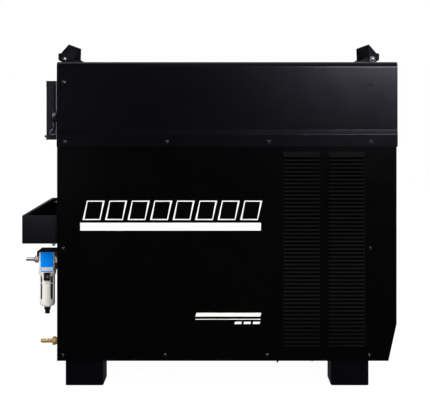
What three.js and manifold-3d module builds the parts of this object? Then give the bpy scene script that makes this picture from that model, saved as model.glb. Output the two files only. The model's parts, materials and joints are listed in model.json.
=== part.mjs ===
// Plasma cutter unit: a black sheet-metal power cabinet with louvred side panels, a folded hood,
// two hinged lifting handles, a rear tray, an air filter and a remote-control interface.
// Millimetres, +Z up. +X is the front of the cabinet, and -Y is the side that carries the filter.
// Inside the cabinet group every X is measured forward from the rear edge of the hood.

import * as THREE from 'three';
import { mergeVertices } from 'three/addons/utils/BufferGeometryUtils.js';
import Module from 'manifold-3d';

const wasm = await Module();
wasm.setup();

// ---------------------------------------------------------------- driving dimensions

// Fits
const SEAT = 0.3; // air left between two pieces that seat on each other
const RUN = 0.6; // running clearance between a turning piece and its neighbour

// Cabinet
const LENGTH = 1000; // hood and side panels, rear edge to front edge
const WIDTH = 570; // over the two hood skirts
const BASE_Z = 75; // underside of the base pan
const ROOF_Z = 952; // top of the hood
const SHEET = 2; // cabinet sheet
const FRONT_RECESS = 53; // front panels behind the front edge of the hood
const REAR_RECESS = 2; // rear panel behind the rear edge of the hood

// Hood
const SKIRT_LAP = 32; // the skirt hangs this far below the side panel's top edge
const JOGGLE_GAP = 4; // from that edge up to where the skirt starts to step inwards
const JOGGLE_RISE = 12;
const JOGGLE_STEP = 3;
const ROOF_BEND = 12; // outside radius of the roof bends

// Side panels
const PANEL_TOP_Z = 735; // the top edge is hidden by the skirt
const PANEL_REAR = 1; // panel's rear edge, forward of the hood's
const PANEL_FRONT_GAP = 3; // panel's front edge, behind the hood's
const CORNER_CUT_Z = 184; // the front edge slopes back below this height
const CORNER_CUT_X = 24;
const RETURN_FLANGE = 12; // inward fold along the front edge

// Louvres
const LOUVRE_TOP_GAP = 11.5; // top louvre, below the hood skirt
const LOUVRE_LOW_Z = 117; // the louvres stay above this height
const LOUVRE_PITCH = 11.33;
const LOUVRE_BRIDGE = 2; // plain sheet between one louvre and the next
const LOUVRE_DEPTH = 6; // lip, proud of the panel
const LOUVRE_WALL = 1.4;
const LOUVRE_SLANT = 4; // how far each end of a lip is drawn in
const LOUVRE_WIDTH = 112;
const LOUVRE_INSET = 206; // rear end of the front column, behind the hood's front edge
const LOUVRE_STEP = 132; // from one column to the other
const FIRST_LOUVRE_EXTRA = 9; // the top louvre's slope is longer than the others'

// Base pan, feet and frame
const PAN_SHEET = 3;
const PAN_FLANGE_Z = 115;
const FOOT_LENGTH = 111;
const FOOT_WIDTH = 104;
const FOOT_WALL = 3;
const FOOT_REAR_X = 24; // rear face of the rear feet
const FOOT_FRONT_INSET = 83; // front face of the front feet, behind the hood's front edge
const FOOT_INSET = 12; // outer face, inside the side panel's
const FOOT_BEVEL = 5;
const ANGLE_LEG = 30;
const ANGLE_WALL = 3;
const DECK_Z = 405;
const DECK_FLANGE = 20;
const PANEL_SPLIT_Z = 420; // between the front fascia and the lower panel

// Lifting handles
const HANDLE_LENGTH = 275; // over the cheeks
const HANDLE_WALL = 4;
const HANDLE_LEAN = 70; // degrees of the web above the horizontal
const RIDGE_X = 15; // top ridge, forward of the hood's rear edge
const RIDGE_RISE = 60; // top ridge above the roof
const CHEEK_X = -9.7; // outboard corner of the cheek
const CHEEK_RISE = 32;
const PIVOT_X = 3;
const PIVOT_RISE = 14;
const HUB_RADIUS = 10.5;
const WEB_BOTTOM_RISE = 22;
const RIDGE_CHAMFER = 6.4;
const FRONT_PIVOT_INSET = 52; // front handle's pivot, behind the hood's front edge
const EAR_BACK = 22; // the ear reaches this far outboard of the pivot
const EAR_FRONT = 8; // and this far inboard, above its gusset
const EAR_RISE = 32; // top of the ear above the roof
const EAR_BEVEL = 5;
const EAR_WALL = 6;
const EAR_GUSSET_RISE = 22; // where the gusset starts to slope down towards the foot
const EAR_FOOT_X = 2; // the foot starts this far forward of the hood's rear edge
const EAR_FOOT_LENGTH = 42;
const EAR_FOOT_WIDTH = 32;
const EAR_FOOT_WALL = 4;
const BOLT_RADIUS = 5;
const BOLT_HEAD_RADIUS = 7;
const BOLT_HEAD = 6;
const WASHER_RADIUS = 10;
const WASHER = 2;

// Rear tray
const TRAY_REACH = 105; // behind the hood's rear edge
const TRAY_INSET = 17; // tray's side walls, inside the hood skirts
const TRAY_Z = 416;
const TRAY_HEIGHT = 83.5;
const TRAY_HEM = 10;

// Air filter
const FILTER_X = -57; // filter axis behind the rear edge
const FILTER_INSET = 180; // filter axis, inside the near skirt
const FILTER_TOP_Z = 372.7;
const FILTER_BODY = 60; // width and depth of the head
const FILTER_BODY_Z = 312;
const COLLAR_Z = 300; // lower edge of the collar that the bowl hangs in
const COLLAR_RADIUS = 27;
const FILTER_CORNER = 9;
const PORT_Z = 345;
const PORT_RADIUS = 6;
const GUARD_RADIUS = 23.5;
const GUARD_WALL = 1.5;
const GUARD_BOTTOM_Z = 200;
const GUARD_ENTRY = 8; // how far the guard reaches up into the collar
const GUARD_SLOT = 9; // width of the sight slots
const BOWL_WALL = 2;
const ELEMENT_RADIUS = 11;
const ELEMENT_Z = 240;
const COCK_RADIUS = 9;
const COCK_TIP_RADIUS = 6; // lower step of the drain cock
const COCK_SEAL_RADIUS = 8;
const COCK_BOTTOM_Z = 175;
const COCK_STEM_RADIUS = 5;
const BARB_NUT = 12; // thickness of the inlet fitting's hexagon
const BARB_REACH = 36; // tip of the inlet barb behind the filter head
const BARB_RIDGE = 1.2; // ridge, proud of the tube
const BARB_TIP_STEP = 0.6;
const NIPPLE_NUT_RADIUS = 9;
const BRACKET_SHEET = 3;
const BRACKET_WIDTH = 75;
const BRACKET_LIP = 18;
const BRACKET_BACK = 54;
const FITTING_ENTRY = 6; // how far a fitting enters its port
const LATCH_WIDTH = 19;
const LATCH_HEIGHT = 24;
const LATCH_THICKNESS = 6;
const LATCH_TRAVEL = 3;

// Outlet barb, low on the rear panel
const OUTLET_INSET = 25; // barb's axis, inside the near skirt
const OUTLET_Z = 129;
const OUTLET_REACH = 50;
const OUTLET_NUT_RADIUS = 13;
const OUTLET_SHOULDER = 8; // length of the shoulder, and of the hexagon behind it
const OUTLET_TUBE_RADIUS = 5.5;
const OUTLET_BORE_RADIUS = 2.4;

// Remote-control interface on the rear panel
const INTERFACE_GAP = 9; // from the socket's flange
const INTERFACE_WIDTH = 130;
const INTERFACE_Z = [721, 897];
const INTERFACE_BASE = 10;
const INTERFACE_SEAL = 3;
const INTERFACE_REACH = 41;
const INTERFACE_FLANGE = 5;
const SOCKET_INSET = 33; // socket's axis, inside the near skirt
const SOCKET_RISE = 87; // socket's axis, above the lower edge of the hood skirt
const SOCKET_RADIUS = 14;
const SOCKET_FLANGE = 36;
const SOCKET_REACH = 13;
const CAP_RADIUS = 16;
const CAP_REACH = 17.5;
const CAP_GROOVE = 3;
const CAP_NECK = 13; // radius at the bottom of the groove
const CAP_CHAMFER = 1;
const CAP_BEAD = 1.8; // thickness of the rim outside the groove
const CRIMP_LENGTH = 14;
const LANYARD_RADIUS = 1;
const LANYARD_LUG_DROP = 33; // lug, below the socket's axis
const LANYARD_LUG = 5; // half size of the lug
const LANYARD_REACH = 25; // rearmost point of the loop, behind the hood's rear edge
const LANYARD_DROP = 53.5; // lowest point of the loop, below the socket's axis
const LANYARD_LOOP = [ // the loop's way round, as shares of its reach and drop
  [0.68, 0.67], [1, 0.82], [0.88, 0.95], [0.64, 1], [0.4, 0.935], [0.32, 0.785],
];
const LANYARD_STEPS = 14;

// Fan behind the lower front panel
const FAN_Z = 250;
const FAN_RADIUS = 108;
const FAN_TIP_GAP = 4;
const FAN_DEPTH = 40;
const FAN_FLANGE_HALF = 124;
const FAN_BLADES = 7;
const FAN_HUB_RADIUS = 32;
const FAN_ROTOR = [6, 34]; // hub, forward of the spider's rear face
const BLADE_WALL = 2.5;
const BLADE_CHORD = [34, 46, 54]; // at the root, half way and at the tip
const BLADE_PITCH = [50, 36, 26]; // degrees
const BLADE_ROOT = 4; // how far a blade reaches into the hub
const BLADE_TRIM = 3; // blade's last section, inside the tip circle
const SHAFT_RADIUS = 4;
const MOTOR_LENGTH = 26;
const GRILLE_SLOTS = 9;
const GRILLE_PITCH = 23;
const GRILLE_SLOT = 13;
const GRILLE_WEB = 10; // upright bar between the two halves of each slot

// Front controls and output sockets
const CONTROL_Z = 830;
const KNOB_Y = 90;
const KNOB_RADIUS = 21;
const KNOB_DEPTH = 20;
const KNOB_SKIRT = 5;
const KNOB_GRIP = [16.8, 15.5]; // radius at the skirt and at the face
const KNOB_RIDGE = 2; // half width of the pointer ridge
const KNOB_RIDGE_RISE = 1.5;
const LENS_Y = -90;
const LENS_SIZE = [120, 60];
const LENS_FRAME = 8;
const SWITCH_Y = 90;
const SWITCH_Z = 690;
const SWITCH_SIZE = [26, 34];
const SWITCH_LOW = 3; // rocker's lower edge, proud of the fascia
const SWITCH_DIP = 1;
const OUTPUT_INSET = 85; // output and torch sockets, inside the skirts
const OUTPUT_Z = [180, 290];
const TORCH_Z = 235;
const OUTPUT_RADIUS = 20;
const TORCH_RADIUS = 30;
const OUTPUT_REACH = 28;
const OUTPUT_FLANGE = 4;
const SOCKET_TAIL = 0.7; // radius of a socket's tail, as a share of its barrel's
const SOCKET_BORE = 0.5;
const SOCKET_RIM = 1.3;

// Power electronics
const CORE = { x: 0.33 * LENGTH, length: 200, half: 75, height: 180, limb: 44 };
const COIL_WALL = 24;
const SINK = { x: 0.32 * LENGTH, length: 260, half: 100, fins: 9, fin: 4, height: 50, plate: 12 };
const BOARD_SHEET = 2.4;
const BOARD_EDGE = 8; // board inside the heat sink's edges
const BOARD_PLACES = [0.25, 0.5, 0.75]; // modules and capacitors, as shares of the sink's length
const MODULE_HEIGHT = 24;
const MODULE_HALF = 22;
const CAPACITOR = { radius: 20, height: 62 };
const CONTACTOR = { x: 0.12 * LENGTH, length: 90, half: 45, height: 110, step: 15, rise: 77 };
const VALVE = { end: 50, half: 20, rise: 18, coilX: 28, coilRadius: 15, coilTop: 50 };

// Roundness
const ROUND = 16;
const SMALL_ROUND = 10;
const BOWL_ROUND = 12;
const BOWL_BEND_STEPS = 2;
const BOWL_BEND = 0.45; // bottom bend, as a share of the bowl's radius
const HOLE_ROUND = 14;
const ROOF_BEND_STEPS = 4;

// ---------------------------------------------------------------- derived places

const HALF_WIDTH = WIDTH / 2;
const PANEL_OUTER_Y = HALF_WIDTH - SHEET - SEAT;
const PANEL_INNER_Y = PANEL_OUTER_Y - SHEET;
const HOOD_UPPER_Y = HALF_WIDTH - JOGGLE_STEP;
const SKIRT_Z = PANEL_TOP_Z - SKIRT_LAP; // lower edge of the hood skirt
const JOGGLE_Z = PANEL_TOP_Z + JOGGLE_GAP;
const LOUVRE_TOP_Z = SKIRT_Z - LOUVRE_TOP_GAP;
const SOCKET_Z = SKIRT_Z + SOCKET_RISE;
const PLATE_HALF = HOOD_UPPER_Y - SHEET - SEAT; // half width of the rear panel and front panels
const PAN_HALF = PANEL_INNER_Y - SEAT;
const ROOF_INNER_Z = ROOF_Z - SHEET;
const REAR_OUTER_X = REAR_RECESS;
const REAR_INNER_X = REAR_RECESS + SHEET;
const REAR_SEAT_X = REAR_OUTER_X - SEAT; // where pieces on the back of the rear panel start
const FRONT_OUTER_X = LENGTH - FRONT_RECESS;
const FRONT_INNER_X = FRONT_OUTER_X - SHEET;
const FRONT_SEAT_X = FRONT_OUTER_X + SEAT;
const PAN_REAR_X = REAR_INNER_X + SEAT;
const PAN_FRONT_X = FRONT_INNER_X - SEAT;
const PAN_TOP_Z = BASE_Z + PAN_SHEET;
const POST_REAR_X = PAN_REAR_X + SHEET + SEAT;
const POST_FRONT_X = PAN_FRONT_X - SHEET - SEAT;
const POST_OUTER_Y = PAN_HALF - SHEET - SEAT;
const RAIL_Z = SKIRT_Z + SHEET;
const FAN_REAR_X = PAN_FRONT_X - FAN_DEPTH;
const FILTER_Y = FILTER_INSET - HALF_WIDTH;
const OUTLET_Y = OUTLET_INSET - HALF_WIDTH;
const SOCKET_Y = SOCKET_INSET - HALF_WIDTH;
const INTERFACE_NEAR_Y = SOCKET_Y + SOCKET_FLANGE / 2 + INTERFACE_GAP;
const INTERFACE_Y = [INTERFACE_NEAR_Y, INTERFACE_NEAR_Y + INTERFACE_WIDTH];
const OUTPUT_Y = OUTPUT_INSET - HALF_WIDTH;
const TORCH_Y = HALF_WIDTH - OUTPUT_INSET;
const TRAY_HALF = HALF_WIDTH - TRAY_INSET;
const FOOT_FRONT_X = LENGTH - FOOT_FRONT_INSET - FOOT_LENGTH;
const FRONT_PIVOT_X = LENGTH - FRONT_PIVOT_INSET;
const LOUVRE_FIELD = LOUVRE_TOP_Z - FIRST_LOUVRE_EXTRA + LOUVRE_BRIDGE - LOUVRE_LOW_Z;
const LOUVRE_COUNT = Math.floor(LOUVRE_FIELD / LOUVRE_PITCH);
const LOUVRE_COLUMNS = [LENGTH - LOUVRE_INSET - LOUVRE_STEP, LENGTH - LOUVRE_INSET]; // rear ends
const REAR_REACH = -FILTER_X + FILTER_BODY / 2 + BARB_REACH;
const LENGTH_CENTRE_X = (LENGTH - REAR_REACH) / 2;

// ---------------------------------------------------------------- solids from three.js shapes

// Signed volume of an indexed triangle mesh: negative where its faces point inwards.
function signedVolume(positions, index) {
  const [a, b, c] = [new THREE.Vector3(), new THREE.Vector3(), new THREE.Vector3()];
  let sum = 0;
  for (let i = 0; i < index.length; i += 3) {
    a.fromArray(positions, 3 * index[i]);
    b.fromArray(positions, 3 * index[i + 1]);
    c.fromArray(positions, 3 * index[i + 2]);
    sum += a.dot(b.cross(c));
  }
  return sum;
}

// Closed solid of a three.js geometry, with shared vertices merged and faces pointing out.
function solidOf(geometry) {
  geometry.deleteAttribute('normal');
  geometry.deleteAttribute('uv');
  const merged = mergeVertices(geometry);
  const positions = merged.attributes.position.array;
  const index = merged.index.array;
  const kept = [];
  const inwards = signedVolume(positions, index) < 0;
  for (let i = 0; i < index.length; i += 3) {
    const [a, b, c] = [index[i], index[i + 1], index[i + 2]];
    const flat = a === b || b === c || c === a;
    if (!flat) kept.push(...(inwards ? [a, c, b] : [a, b, c]));
  }
  const mesh = new wasm.Mesh({
    numProp: 3,
    vertProperties: new Float32Array(positions),
    triVerts: new Uint32Array(kept),
  });
  return new wasm.Manifold(mesh);
}

// three.js geometry of a solid.
function geometryOf(solid) {
  const mesh = solid.getMesh();
  const geometry = new THREE.BufferGeometry();
  geometry.setAttribute('position', new THREE.BufferAttribute(mesh.vertProperties, 3));
  geometry.setIndex(new THREE.BufferAttribute(mesh.triVerts, 1));
  geometry.computeVertexNormals();
  return geometry;
}

const join = (first, ...others) => others.reduce((sum, solid) => sum.add(solid), first);
const cut = (first, ...tools) => tools.reduce((rest, tool) => rest.subtract(tool), first);

// Box between two corners. Each corner of a unit box is set to its place, so that the faces of
// neighbouring solids share exactly the same planes.
function box([x0, x1], [y0, y1], [z0, z1]) {
  const geometry = new THREE.BoxGeometry(1, 1, 1);
  const corner = geometry.attributes.position;
  for (let i = 0; i < corner.count; i += 1) {
    const [right, far, high] = [corner.getX(i) > 0, corner.getY(i) > 0, corner.getZ(i) > 0];
    corner.setXYZ(i, right ? x1 : x0, far ? y1 : y0, high ? z1 : z0);
  }
  return solidOf(geometry);
}

// A span made longer at both ends.
const grown = ([from, to], by) => [from - by, to + by];

// Pairs [from, to] on the near (-1) or far (+1) side, measured outwards from the mid plane.
const spanY = (side, inner, outer) => (side < 0 ? [-outer, -inner] : [inner, outer]);

// Prism of an outline, with holes right through it. Along X the outline is (y, z), along Y it is
// (x, z), along Z it is (x, y).
const AXES = {
  X: [new THREE.Vector3(0, 1, 0), new THREE.Vector3(0, 0, 1), new THREE.Vector3(1, 0, 0)],
  Y: [new THREE.Vector3(1, 0, 0), new THREE.Vector3(0, 0, 1), new THREE.Vector3(0, -1, 0)],
  Z: [new THREE.Vector3(1, 0, 0), new THREE.Vector3(0, 1, 0), new THREE.Vector3(0, 0, 1)],
};

function prism(axis, outline, [from, to], holes = []) {
  const shape = new THREE.Shape(outline.map(([u, v]) => new THREE.Vector2(u, v)));
  const geometry = new THREE.ExtrudeGeometry(shape, { depth: 1, bevelEnabled: false });
  const [u, v, w] = AXES[axis];
  const [start, end] = axis === 'Y' ? [-to, -from] : [from, to];
  const place = geometry.attributes.position;
  for (let i = 0; i < place.count; i += 1) place.setZ(i, place.getZ(i) > 0 ? end : start);
  geometry.applyMatrix4(new THREE.Matrix4().makeBasis(u, v, w));
  return cut(solidOf(geometry), ...holes.map((hole) => prism(axis, hole, [from - 1, to + 1])));
}

// Points of an arc, angles in degrees.
function arc(cu, cv, radius, from, to, steps) {
  return Array.from({ length: steps + 1 }, (_, i) => {
    const angle = THREE.MathUtils.degToRad(from + ((to - from) * i) / steps);
    return [cu + radius * Math.cos(angle), cv + radius * Math.sin(angle)];
  });
}

const circle = (cu, cv, radius, steps) => arc(cu, cv, radius, 0, 360, steps).slice(0, -1);

// Rectangle between two corners, its corners cut at 45 degrees.
function bevelled([u0, u1], [v0, v1], bevel) {
  return [
    [u0 + bevel, v0], [u1 - bevel, v0], [u1, v0 + bevel], [u1, v1 - bevel],
    [u1 - bevel, v1], [u0 + bevel, v1], [u0, v1 - bevel], [u0, v0 + bevel],
  ];
}

// Round bar along an axis.
const bar = (axis, [cu, cv], radius, span, steps = ROUND) =>
  prism(axis, circle(cu, cv, radius, steps), span);

// Solid of revolution about X or Z through the origin: a profile of [radius, place along] points.
function turned(axis, profile, steps = ROUND) {
  const points = profile.map(([radius, along]) => new THREE.Vector2(radius, along));
  const geometry = new THREE.LatheGeometry(points, steps);
  if (axis === 'X') geometry.rotateZ(-Math.PI / 2);
  if (axis === 'Z') geometry.rotateX(Math.PI / 2);
  return solidOf(geometry);
}

const moved = (solid, x, y, z) => solid.translate([x, y, z]);

// ---------------------------------------------------------------- finishes

const finish = (color, roughness, metalness) => ({ color, roughness, metalness });
const BLACK_COAT = finish(0x17171a, 0.45, 0.2);
const ZINC_PLATE = finish(0xc8cad0, 0.3, 1);
const BARE_STEEL = finish(0x8b8d90, 0.4, 1);
const ALUMINIUM = finish(0xb9bcc0, 0.35, 1);
const BRASS = finish(0xb8923c, 0.3, 1);
const IVORY_CAST = finish(0xdcd9cd, 0.5, 0);
const BLACK_PLASTIC = finish(0x101012, 0.6, 0);
const CLEAR_PLASTIC = finish(0xa9bccb, 0.15, 0);
const GREY_SEAL = finish(0x9a9ca0, 0.8, 0);
const COPPER = finish(0xa4552c, 0.4, 1);
const CIRCUIT_BOARD = finish(0x1f5a36, 0.6, 0);
const WHITE_FELT = finish(0xe9e9e4, 0.9, 0);

function part(name, look, solid) {
  const mesh = new THREE.Mesh(geometryOf(solid), new THREE.MeshStandardMaterial(look));
  mesh.name = name;
  return mesh;
}

// ---------------------------------------------------------------- hood

// Half of the hood's cross-section from the skirt up to the roof, at a distance inside its outer face.
function hoodSide(inset, side) {
  const skirtY = HALF_WIDTH - inset;
  const upperY = HOOD_UPPER_Y - inset;
  const bend = arc(HOOD_UPPER_Y - ROOF_BEND, ROOF_Z - ROOF_BEND, ROOF_BEND - inset, 0, 90, ROOF_BEND_STEPS);
  const points = [[skirtY, SKIRT_Z], [skirtY, JOGGLE_Z], [upperY, JOGGLE_Z + JOGGLE_RISE], ...bend];
  return points.map(([y, z]) => [side * y, z]);
}

function hood() {
  const outer = [...hoodSide(0, -1), ...hoodSide(0, 1).reverse()];
  const inner = [...hoodSide(SHEET, 1), ...hoodSide(SHEET, -1).reverse()];
  return prism('X', [...outer, ...inner], [0, LENGTH]);
}

// ---------------------------------------------------------------- louvred side panels

// Wedge with a sloping face: its base lies on the plane y = base, its lip stands out at y = lip.
// Both ends of the lip are drawn in by the slant.
function wedge([x0, x1], [base, lip], [top, bottom], slant) {
  const corners = [
    [x0, base, top], [x1, base, top],
    [x0, base, bottom], [x1, base, bottom],
    [x0 + slant, lip, bottom], [x1 - slant, lip, bottom],
  ];
  const faces = [0, 1, 5, 0, 5, 4, 0, 4, 2, 1, 3, 5, 2, 4, 5, 2, 5, 3, 0, 2, 3, 0, 3, 1];
  const geometry = new THREE.BufferGeometry();
  geometry.setAttribute('position', new THREE.Float32BufferAttribute(corners.flat(), 3));
  geometry.setIndex(faces);
  return solidOf(geometry);
}

// One louvre: the shell that is added outside the sheet, and the hollow behind it, open downwards.
function louvre(side, startX, index) {
  const extra = index === 0 ? FIRST_LOUVRE_EXTRA : 0;
  const bottom = LOUVRE_TOP_Z - FIRST_LOUVRE_EXTRA - (index + 1) * LOUVRE_PITCH + LOUVRE_BRIDGE;
  const top = bottom + LOUVRE_PITCH - LOUVRE_BRIDGE + extra;
  const base = PANEL_OUTER_Y - SHEET / 2;
  const lip = PANEL_OUTER_Y + LOUVRE_DEPTH;
  const steepness = (top - bottom) / (lip - base);
  const hollowBase = PANEL_INNER_Y - SHEET / 2;
  const hollowTop = bottom + steepness * (lip - LOUVRE_WALL - hollowBase);
  const ends = [startX, startX + LOUVRE_WIDTH];
  const hollowEnds = [ends[0] + LOUVRE_WALL, ends[1] - LOUVRE_WALL];
  const shell = wedge(ends, [side * base, side * lip], [top, bottom], LOUVRE_SLANT);
  const hollow = wedge(
    hollowEnds,
    [side * hollowBase, side * (lip - LOUVRE_WALL)],
    [Math.min(hollowTop, top - LOUVRE_BRIDGE / 4), bottom],
    LOUVRE_SLANT,
  );
  return { shell, hollow };
}

function sidePanel(side) {
  const front = LENGTH - PANEL_FRONT_GAP;
  const outline = [
    [PANEL_REAR, BASE_Z], [front - CORNER_CUT_X, BASE_Z], [front, CORNER_CUT_Z],
    [front, PANEL_TOP_Z], [PANEL_REAR, PANEL_TOP_Z],
  ];
  const sheet = prism('Y', outline, spanY(side, PANEL_INNER_Y, PANEL_OUTER_Y));
  const fold = box(
    [front - SHEET, front],
    spanY(side, PANEL_INNER_Y - RETURN_FLANGE, PANEL_OUTER_Y),
    [CORNER_CUT_Z, SKIRT_Z],
  );
  const louvres = LOUVRE_COLUMNS.flatMap((startX) =>
    Array.from({ length: LOUVRE_COUNT }, (_, index) => louvre(side, startX, index)),
  );
  const pressed = join(sheet, fold, ...louvres.map(({ shell }) => shell));
  return cut(pressed, ...louvres.map(({ hollow }) => hollow));
}

// ---------------------------------------------------------------- base, feet and frame

function basePan() {
  const tray = box([PAN_REAR_X, PAN_FRONT_X], [-PAN_HALF, PAN_HALF], [BASE_Z, PAN_FLANGE_Z]);
  const inside = box(
    [PAN_REAR_X + SHEET, PAN_FRONT_X - SHEET],
    [SHEET - PAN_HALF, PAN_HALF - SHEET],
    [PAN_TOP_Z, PAN_FLANGE_Z + SHEET],
  );
  return cut(tray, inside);
}

// Folded foot, closed on all sides and open towards the base pan that it carries.
function foot(side, startX) {
  const top = BASE_Z - SEAT;
  const outerY = PANEL_OUTER_Y - FOOT_INSET;
  const [y0, y1] = spanY(side, outerY - FOOT_WIDTH, outerY);
  const block = prism('Z', bevelled([startX, startX + FOOT_LENGTH], [y0, y1], FOOT_BEVEL), [0, top]);
  const hollow = box(
    [startX + FOOT_WALL, startX + FOOT_LENGTH - FOOT_WALL],
    [y0 + FOOT_WALL, y1 - FOOT_WALL],
    [FOOT_WALL, top + FOOT_WALL],
  );
  const inner = bevelled([startX, startX + FOOT_LENGTH], [y0, y1], FOOT_BEVEL + FOOT_WALL);
  return cut(block, hollow.intersect(prism('Z', inner, [0, BASE_Z])));
}

// Corner post: an angle whose legs face the side panel and the end panel.
function cornerPost(side, isFront) {
  const [x, forward] = isFront ? [POST_FRONT_X, -1] : [POST_REAR_X, 1];
  const outline = [
    [0, 0], [ANGLE_LEG, 0], [ANGLE_LEG, ANGLE_WALL], [ANGLE_WALL, ANGLE_WALL],
    [ANGLE_WALL, ANGLE_LEG], [0, ANGLE_LEG],
  ].map(([u, v]) => [x + forward * u, side * (POST_OUTER_Y - v)]);
  return prism('Z', outline, [PAN_TOP_Z + SEAT, RAIL_Z - SEAT]);
}

// Top rail that the side panel and the hood skirt are screwed to.
function topRail(side) {
  const outline = [
    [PAN_HALF, RAIL_Z], [PAN_HALF, PANEL_TOP_Z], [PAN_HALF - ANGLE_WALL, PANEL_TOP_Z],
    [PAN_HALF - ANGLE_WALL, RAIL_Z + ANGLE_WALL], [PAN_HALF - ANGLE_LEG, RAIL_Z + ANGLE_WALL],
    [PAN_HALF - ANGLE_LEG, RAIL_Z],
  ].map(([y, z]) => [side * y, z]);
  return prism('X', outline, [POST_REAR_X, POST_FRONT_X]);
}

// Mid deck: a downward channel between the corner posts.
function midDeck() {
  const half = POST_OUTER_Y - ANGLE_WALL - SEAT;
  const section = [
    [-half, DECK_Z - DECK_FLANGE], [-half, DECK_Z], [half, DECK_Z], [half, DECK_Z - DECK_FLANGE],
    [half - SHEET, DECK_Z - DECK_FLANGE], [half - SHEET, DECK_Z - SHEET],
    [SHEET - half, DECK_Z - SHEET], [SHEET - half, DECK_Z - DECK_FLANGE],
  ];
  const inset = ANGLE_WALL + SEAT;
  return prism('X', section, [POST_REAR_X + inset, POST_FRONT_X - inset]);
}

// Outline (y, z) of an upright panel that fills the hood up to its roof bends.
function plateOutline(low) {
  const top = ROOF_INNER_Z - SEAT;
  const radius = ROOF_BEND - SHEET - SEAT;
  const bend = (side, from, to) =>
    arc(side * (PLATE_HALF - radius), top - radius, radius, from, to, ROOF_BEND_STEPS);
  return [[-PLATE_HALF, low], [PLATE_HALF, low], ...bend(1, 0, 90), ...bend(-1, 90, 180)];
}

function rearPanel() {
  const sheet = prism('X', plateOutline(BASE_Z), [REAR_OUTER_X, REAR_INNER_X]);
  const through = [REAR_OUTER_X - SHEET, REAR_INNER_X + SHEET];
  return cut(
    sheet,
    bar('X', [FILTER_Y, PORT_Z], PORT_RADIUS + SEAT, through, HOLE_ROUND),
    bar('X', [OUTLET_Y, OUTLET_Z], OUTLET_TUBE_RADIUS + SEAT, through, HOLE_ROUND),
    bar('X', [SOCKET_Y, SOCKET_Z], SOCKET_RADIUS - SHEET + 2 * SEAT, through, HOLE_ROUND),
  );
}

// ---------------------------------------------------------------- front panels

function frontFascia() {
  const sheet = prism('X', plateOutline(PANEL_SPLIT_Z + SEAT), [FRONT_INNER_X, FRONT_OUTER_X]);
  const through = [FRONT_INNER_X - SHEET, FRONT_OUTER_X + SHEET];
  const frame = LENS_FRAME;
  const window = box(
    through,
    [LENS_Y - LENS_SIZE[0] / 2 + frame, LENS_Y + LENS_SIZE[0] / 2 - frame],
    [CONTROL_Z - LENS_SIZE[1] / 2 + frame, CONTROL_Z + LENS_SIZE[1] / 2 - frame],
  );
  const shaftHole = bar('X', [KNOB_Y, CONTROL_Z], SHAFT_RADIUS + RUN, through, SMALL_ROUND);
  return cut(sheet, window, shaftHole, switchHole(through));
}

function lowerPanel() {
  const sheet = box(
    [FRONT_INNER_X, FRONT_OUTER_X], [-PLATE_HALF, PLATE_HALF], [BASE_Z, PANEL_SPLIT_Z - SEAT],
  );
  const through = [FRONT_INNER_X - SHEET, FRONT_OUTER_X + SHEET];
  const slots = Array.from({ length: GRILLE_SLOTS }, (_, i) => {
    const rise = (i - (GRILLE_SLOTS - 1) / 2) * GRILLE_PITCH;
    const half = Math.sqrt(FAN_RADIUS ** 2 - rise ** 2);
    const ends = [FAN_Z + rise - GRILLE_SLOT / 2, FAN_Z + rise + GRILLE_SLOT / 2];
    return [-1, 1].map((side) => box(through, spanY(side, GRILLE_WEB / 2, half), ends));
  }).flat();
  const holes = [
    ...OUTPUT_Z.map((z) => [OUTPUT_Y, z, OUTPUT_RADIUS]),
    [TORCH_Y, TORCH_Z, TORCH_RADIUS],
  ].map(([y, z, radius]) => bar('X', [y, z], radius * SOCKET_TAIL + 2 * SEAT, through, HOLE_ROUND));
  return cut(sheet, ...slots, ...holes);
}

// ---------------------------------------------------------------- lifting handles

// Side view of a handle, measured from its pivot: u inboard, v up.
const RIDGE = [RIDGE_X - PIVOT_X, RIDGE_RISE - PIVOT_RISE];
const CHEEK = [CHEEK_X - PIVOT_X, CHEEK_RISE - PIVOT_RISE];

// Place on the web's inboard face at a height v above the pivot.
function webPlace(v) {
  return RIDGE[0] - (RIDGE[1] - v) / Math.tan(THREE.MathUtils.degToRad(HANDLE_LEAN));
}

// inboard is +1 on the rear handle and -1 on the front one, which mirrors it.
function handle(inboard) {
  const half = HANDLE_LENGTH / 2;
  const mirror = (points) => points.map(([u, v]) => [inboard * u, v]);
  const thickness = HANDLE_WALL / Math.sin(THREE.MathUtils.degToRad(HANDLE_LEAN));
  const bottom = WEB_BOTTOM_RISE - PIVOT_RISE;
  const shoulder = RIDGE[1] - RIDGE_CHAMFER;
  const web = mirror([
    RIDGE, [webPlace(bottom), bottom], [webPlace(bottom) - thickness, bottom],
    [webPlace(shoulder) - thickness, shoulder],
  ]);
  const cheek = mirror([RIDGE, CHEEK, ...arc(0, 0, HUB_RADIUS, 180, 360, SMALL_ROUND / 2)]);
  const hole = circle(0, 0, BOLT_RADIUS + RUN, HOLE_ROUND);
  const plate = prism('Y', web, [-half, half]);
  const cheeks = [[-half, HANDLE_WALL - half], [half - HANDLE_WALL, half]].map((span) =>
    prism('Y', cheek, span, [hole]),
  );
  const windows = EAR_SPANS.map(([y0, y1]) =>
    bar('Y', [0, 0], EAR_REACH + RUN, [y0 - RUN, y1 + RUN]),
  );
  return join(cut(plate, ...windows), ...cheeks);
}

// Ear inside each cheek: an upright plate that overhangs the hood's edge, a gusset, and a foot on
// the roof.
const EAR_OUTER = HANDLE_LENGTH / 2 - HANDLE_WALL - RUN;
const EAR_SPANS = [spanY(-1, EAR_OUTER - EAR_WALL, EAR_OUTER), spanY(1, EAR_OUTER - EAR_WALL, EAR_OUTER)];
const EAR_REACH = Math.hypot(EAR_BACK, EAR_RISE - PIVOT_RISE);

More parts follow.
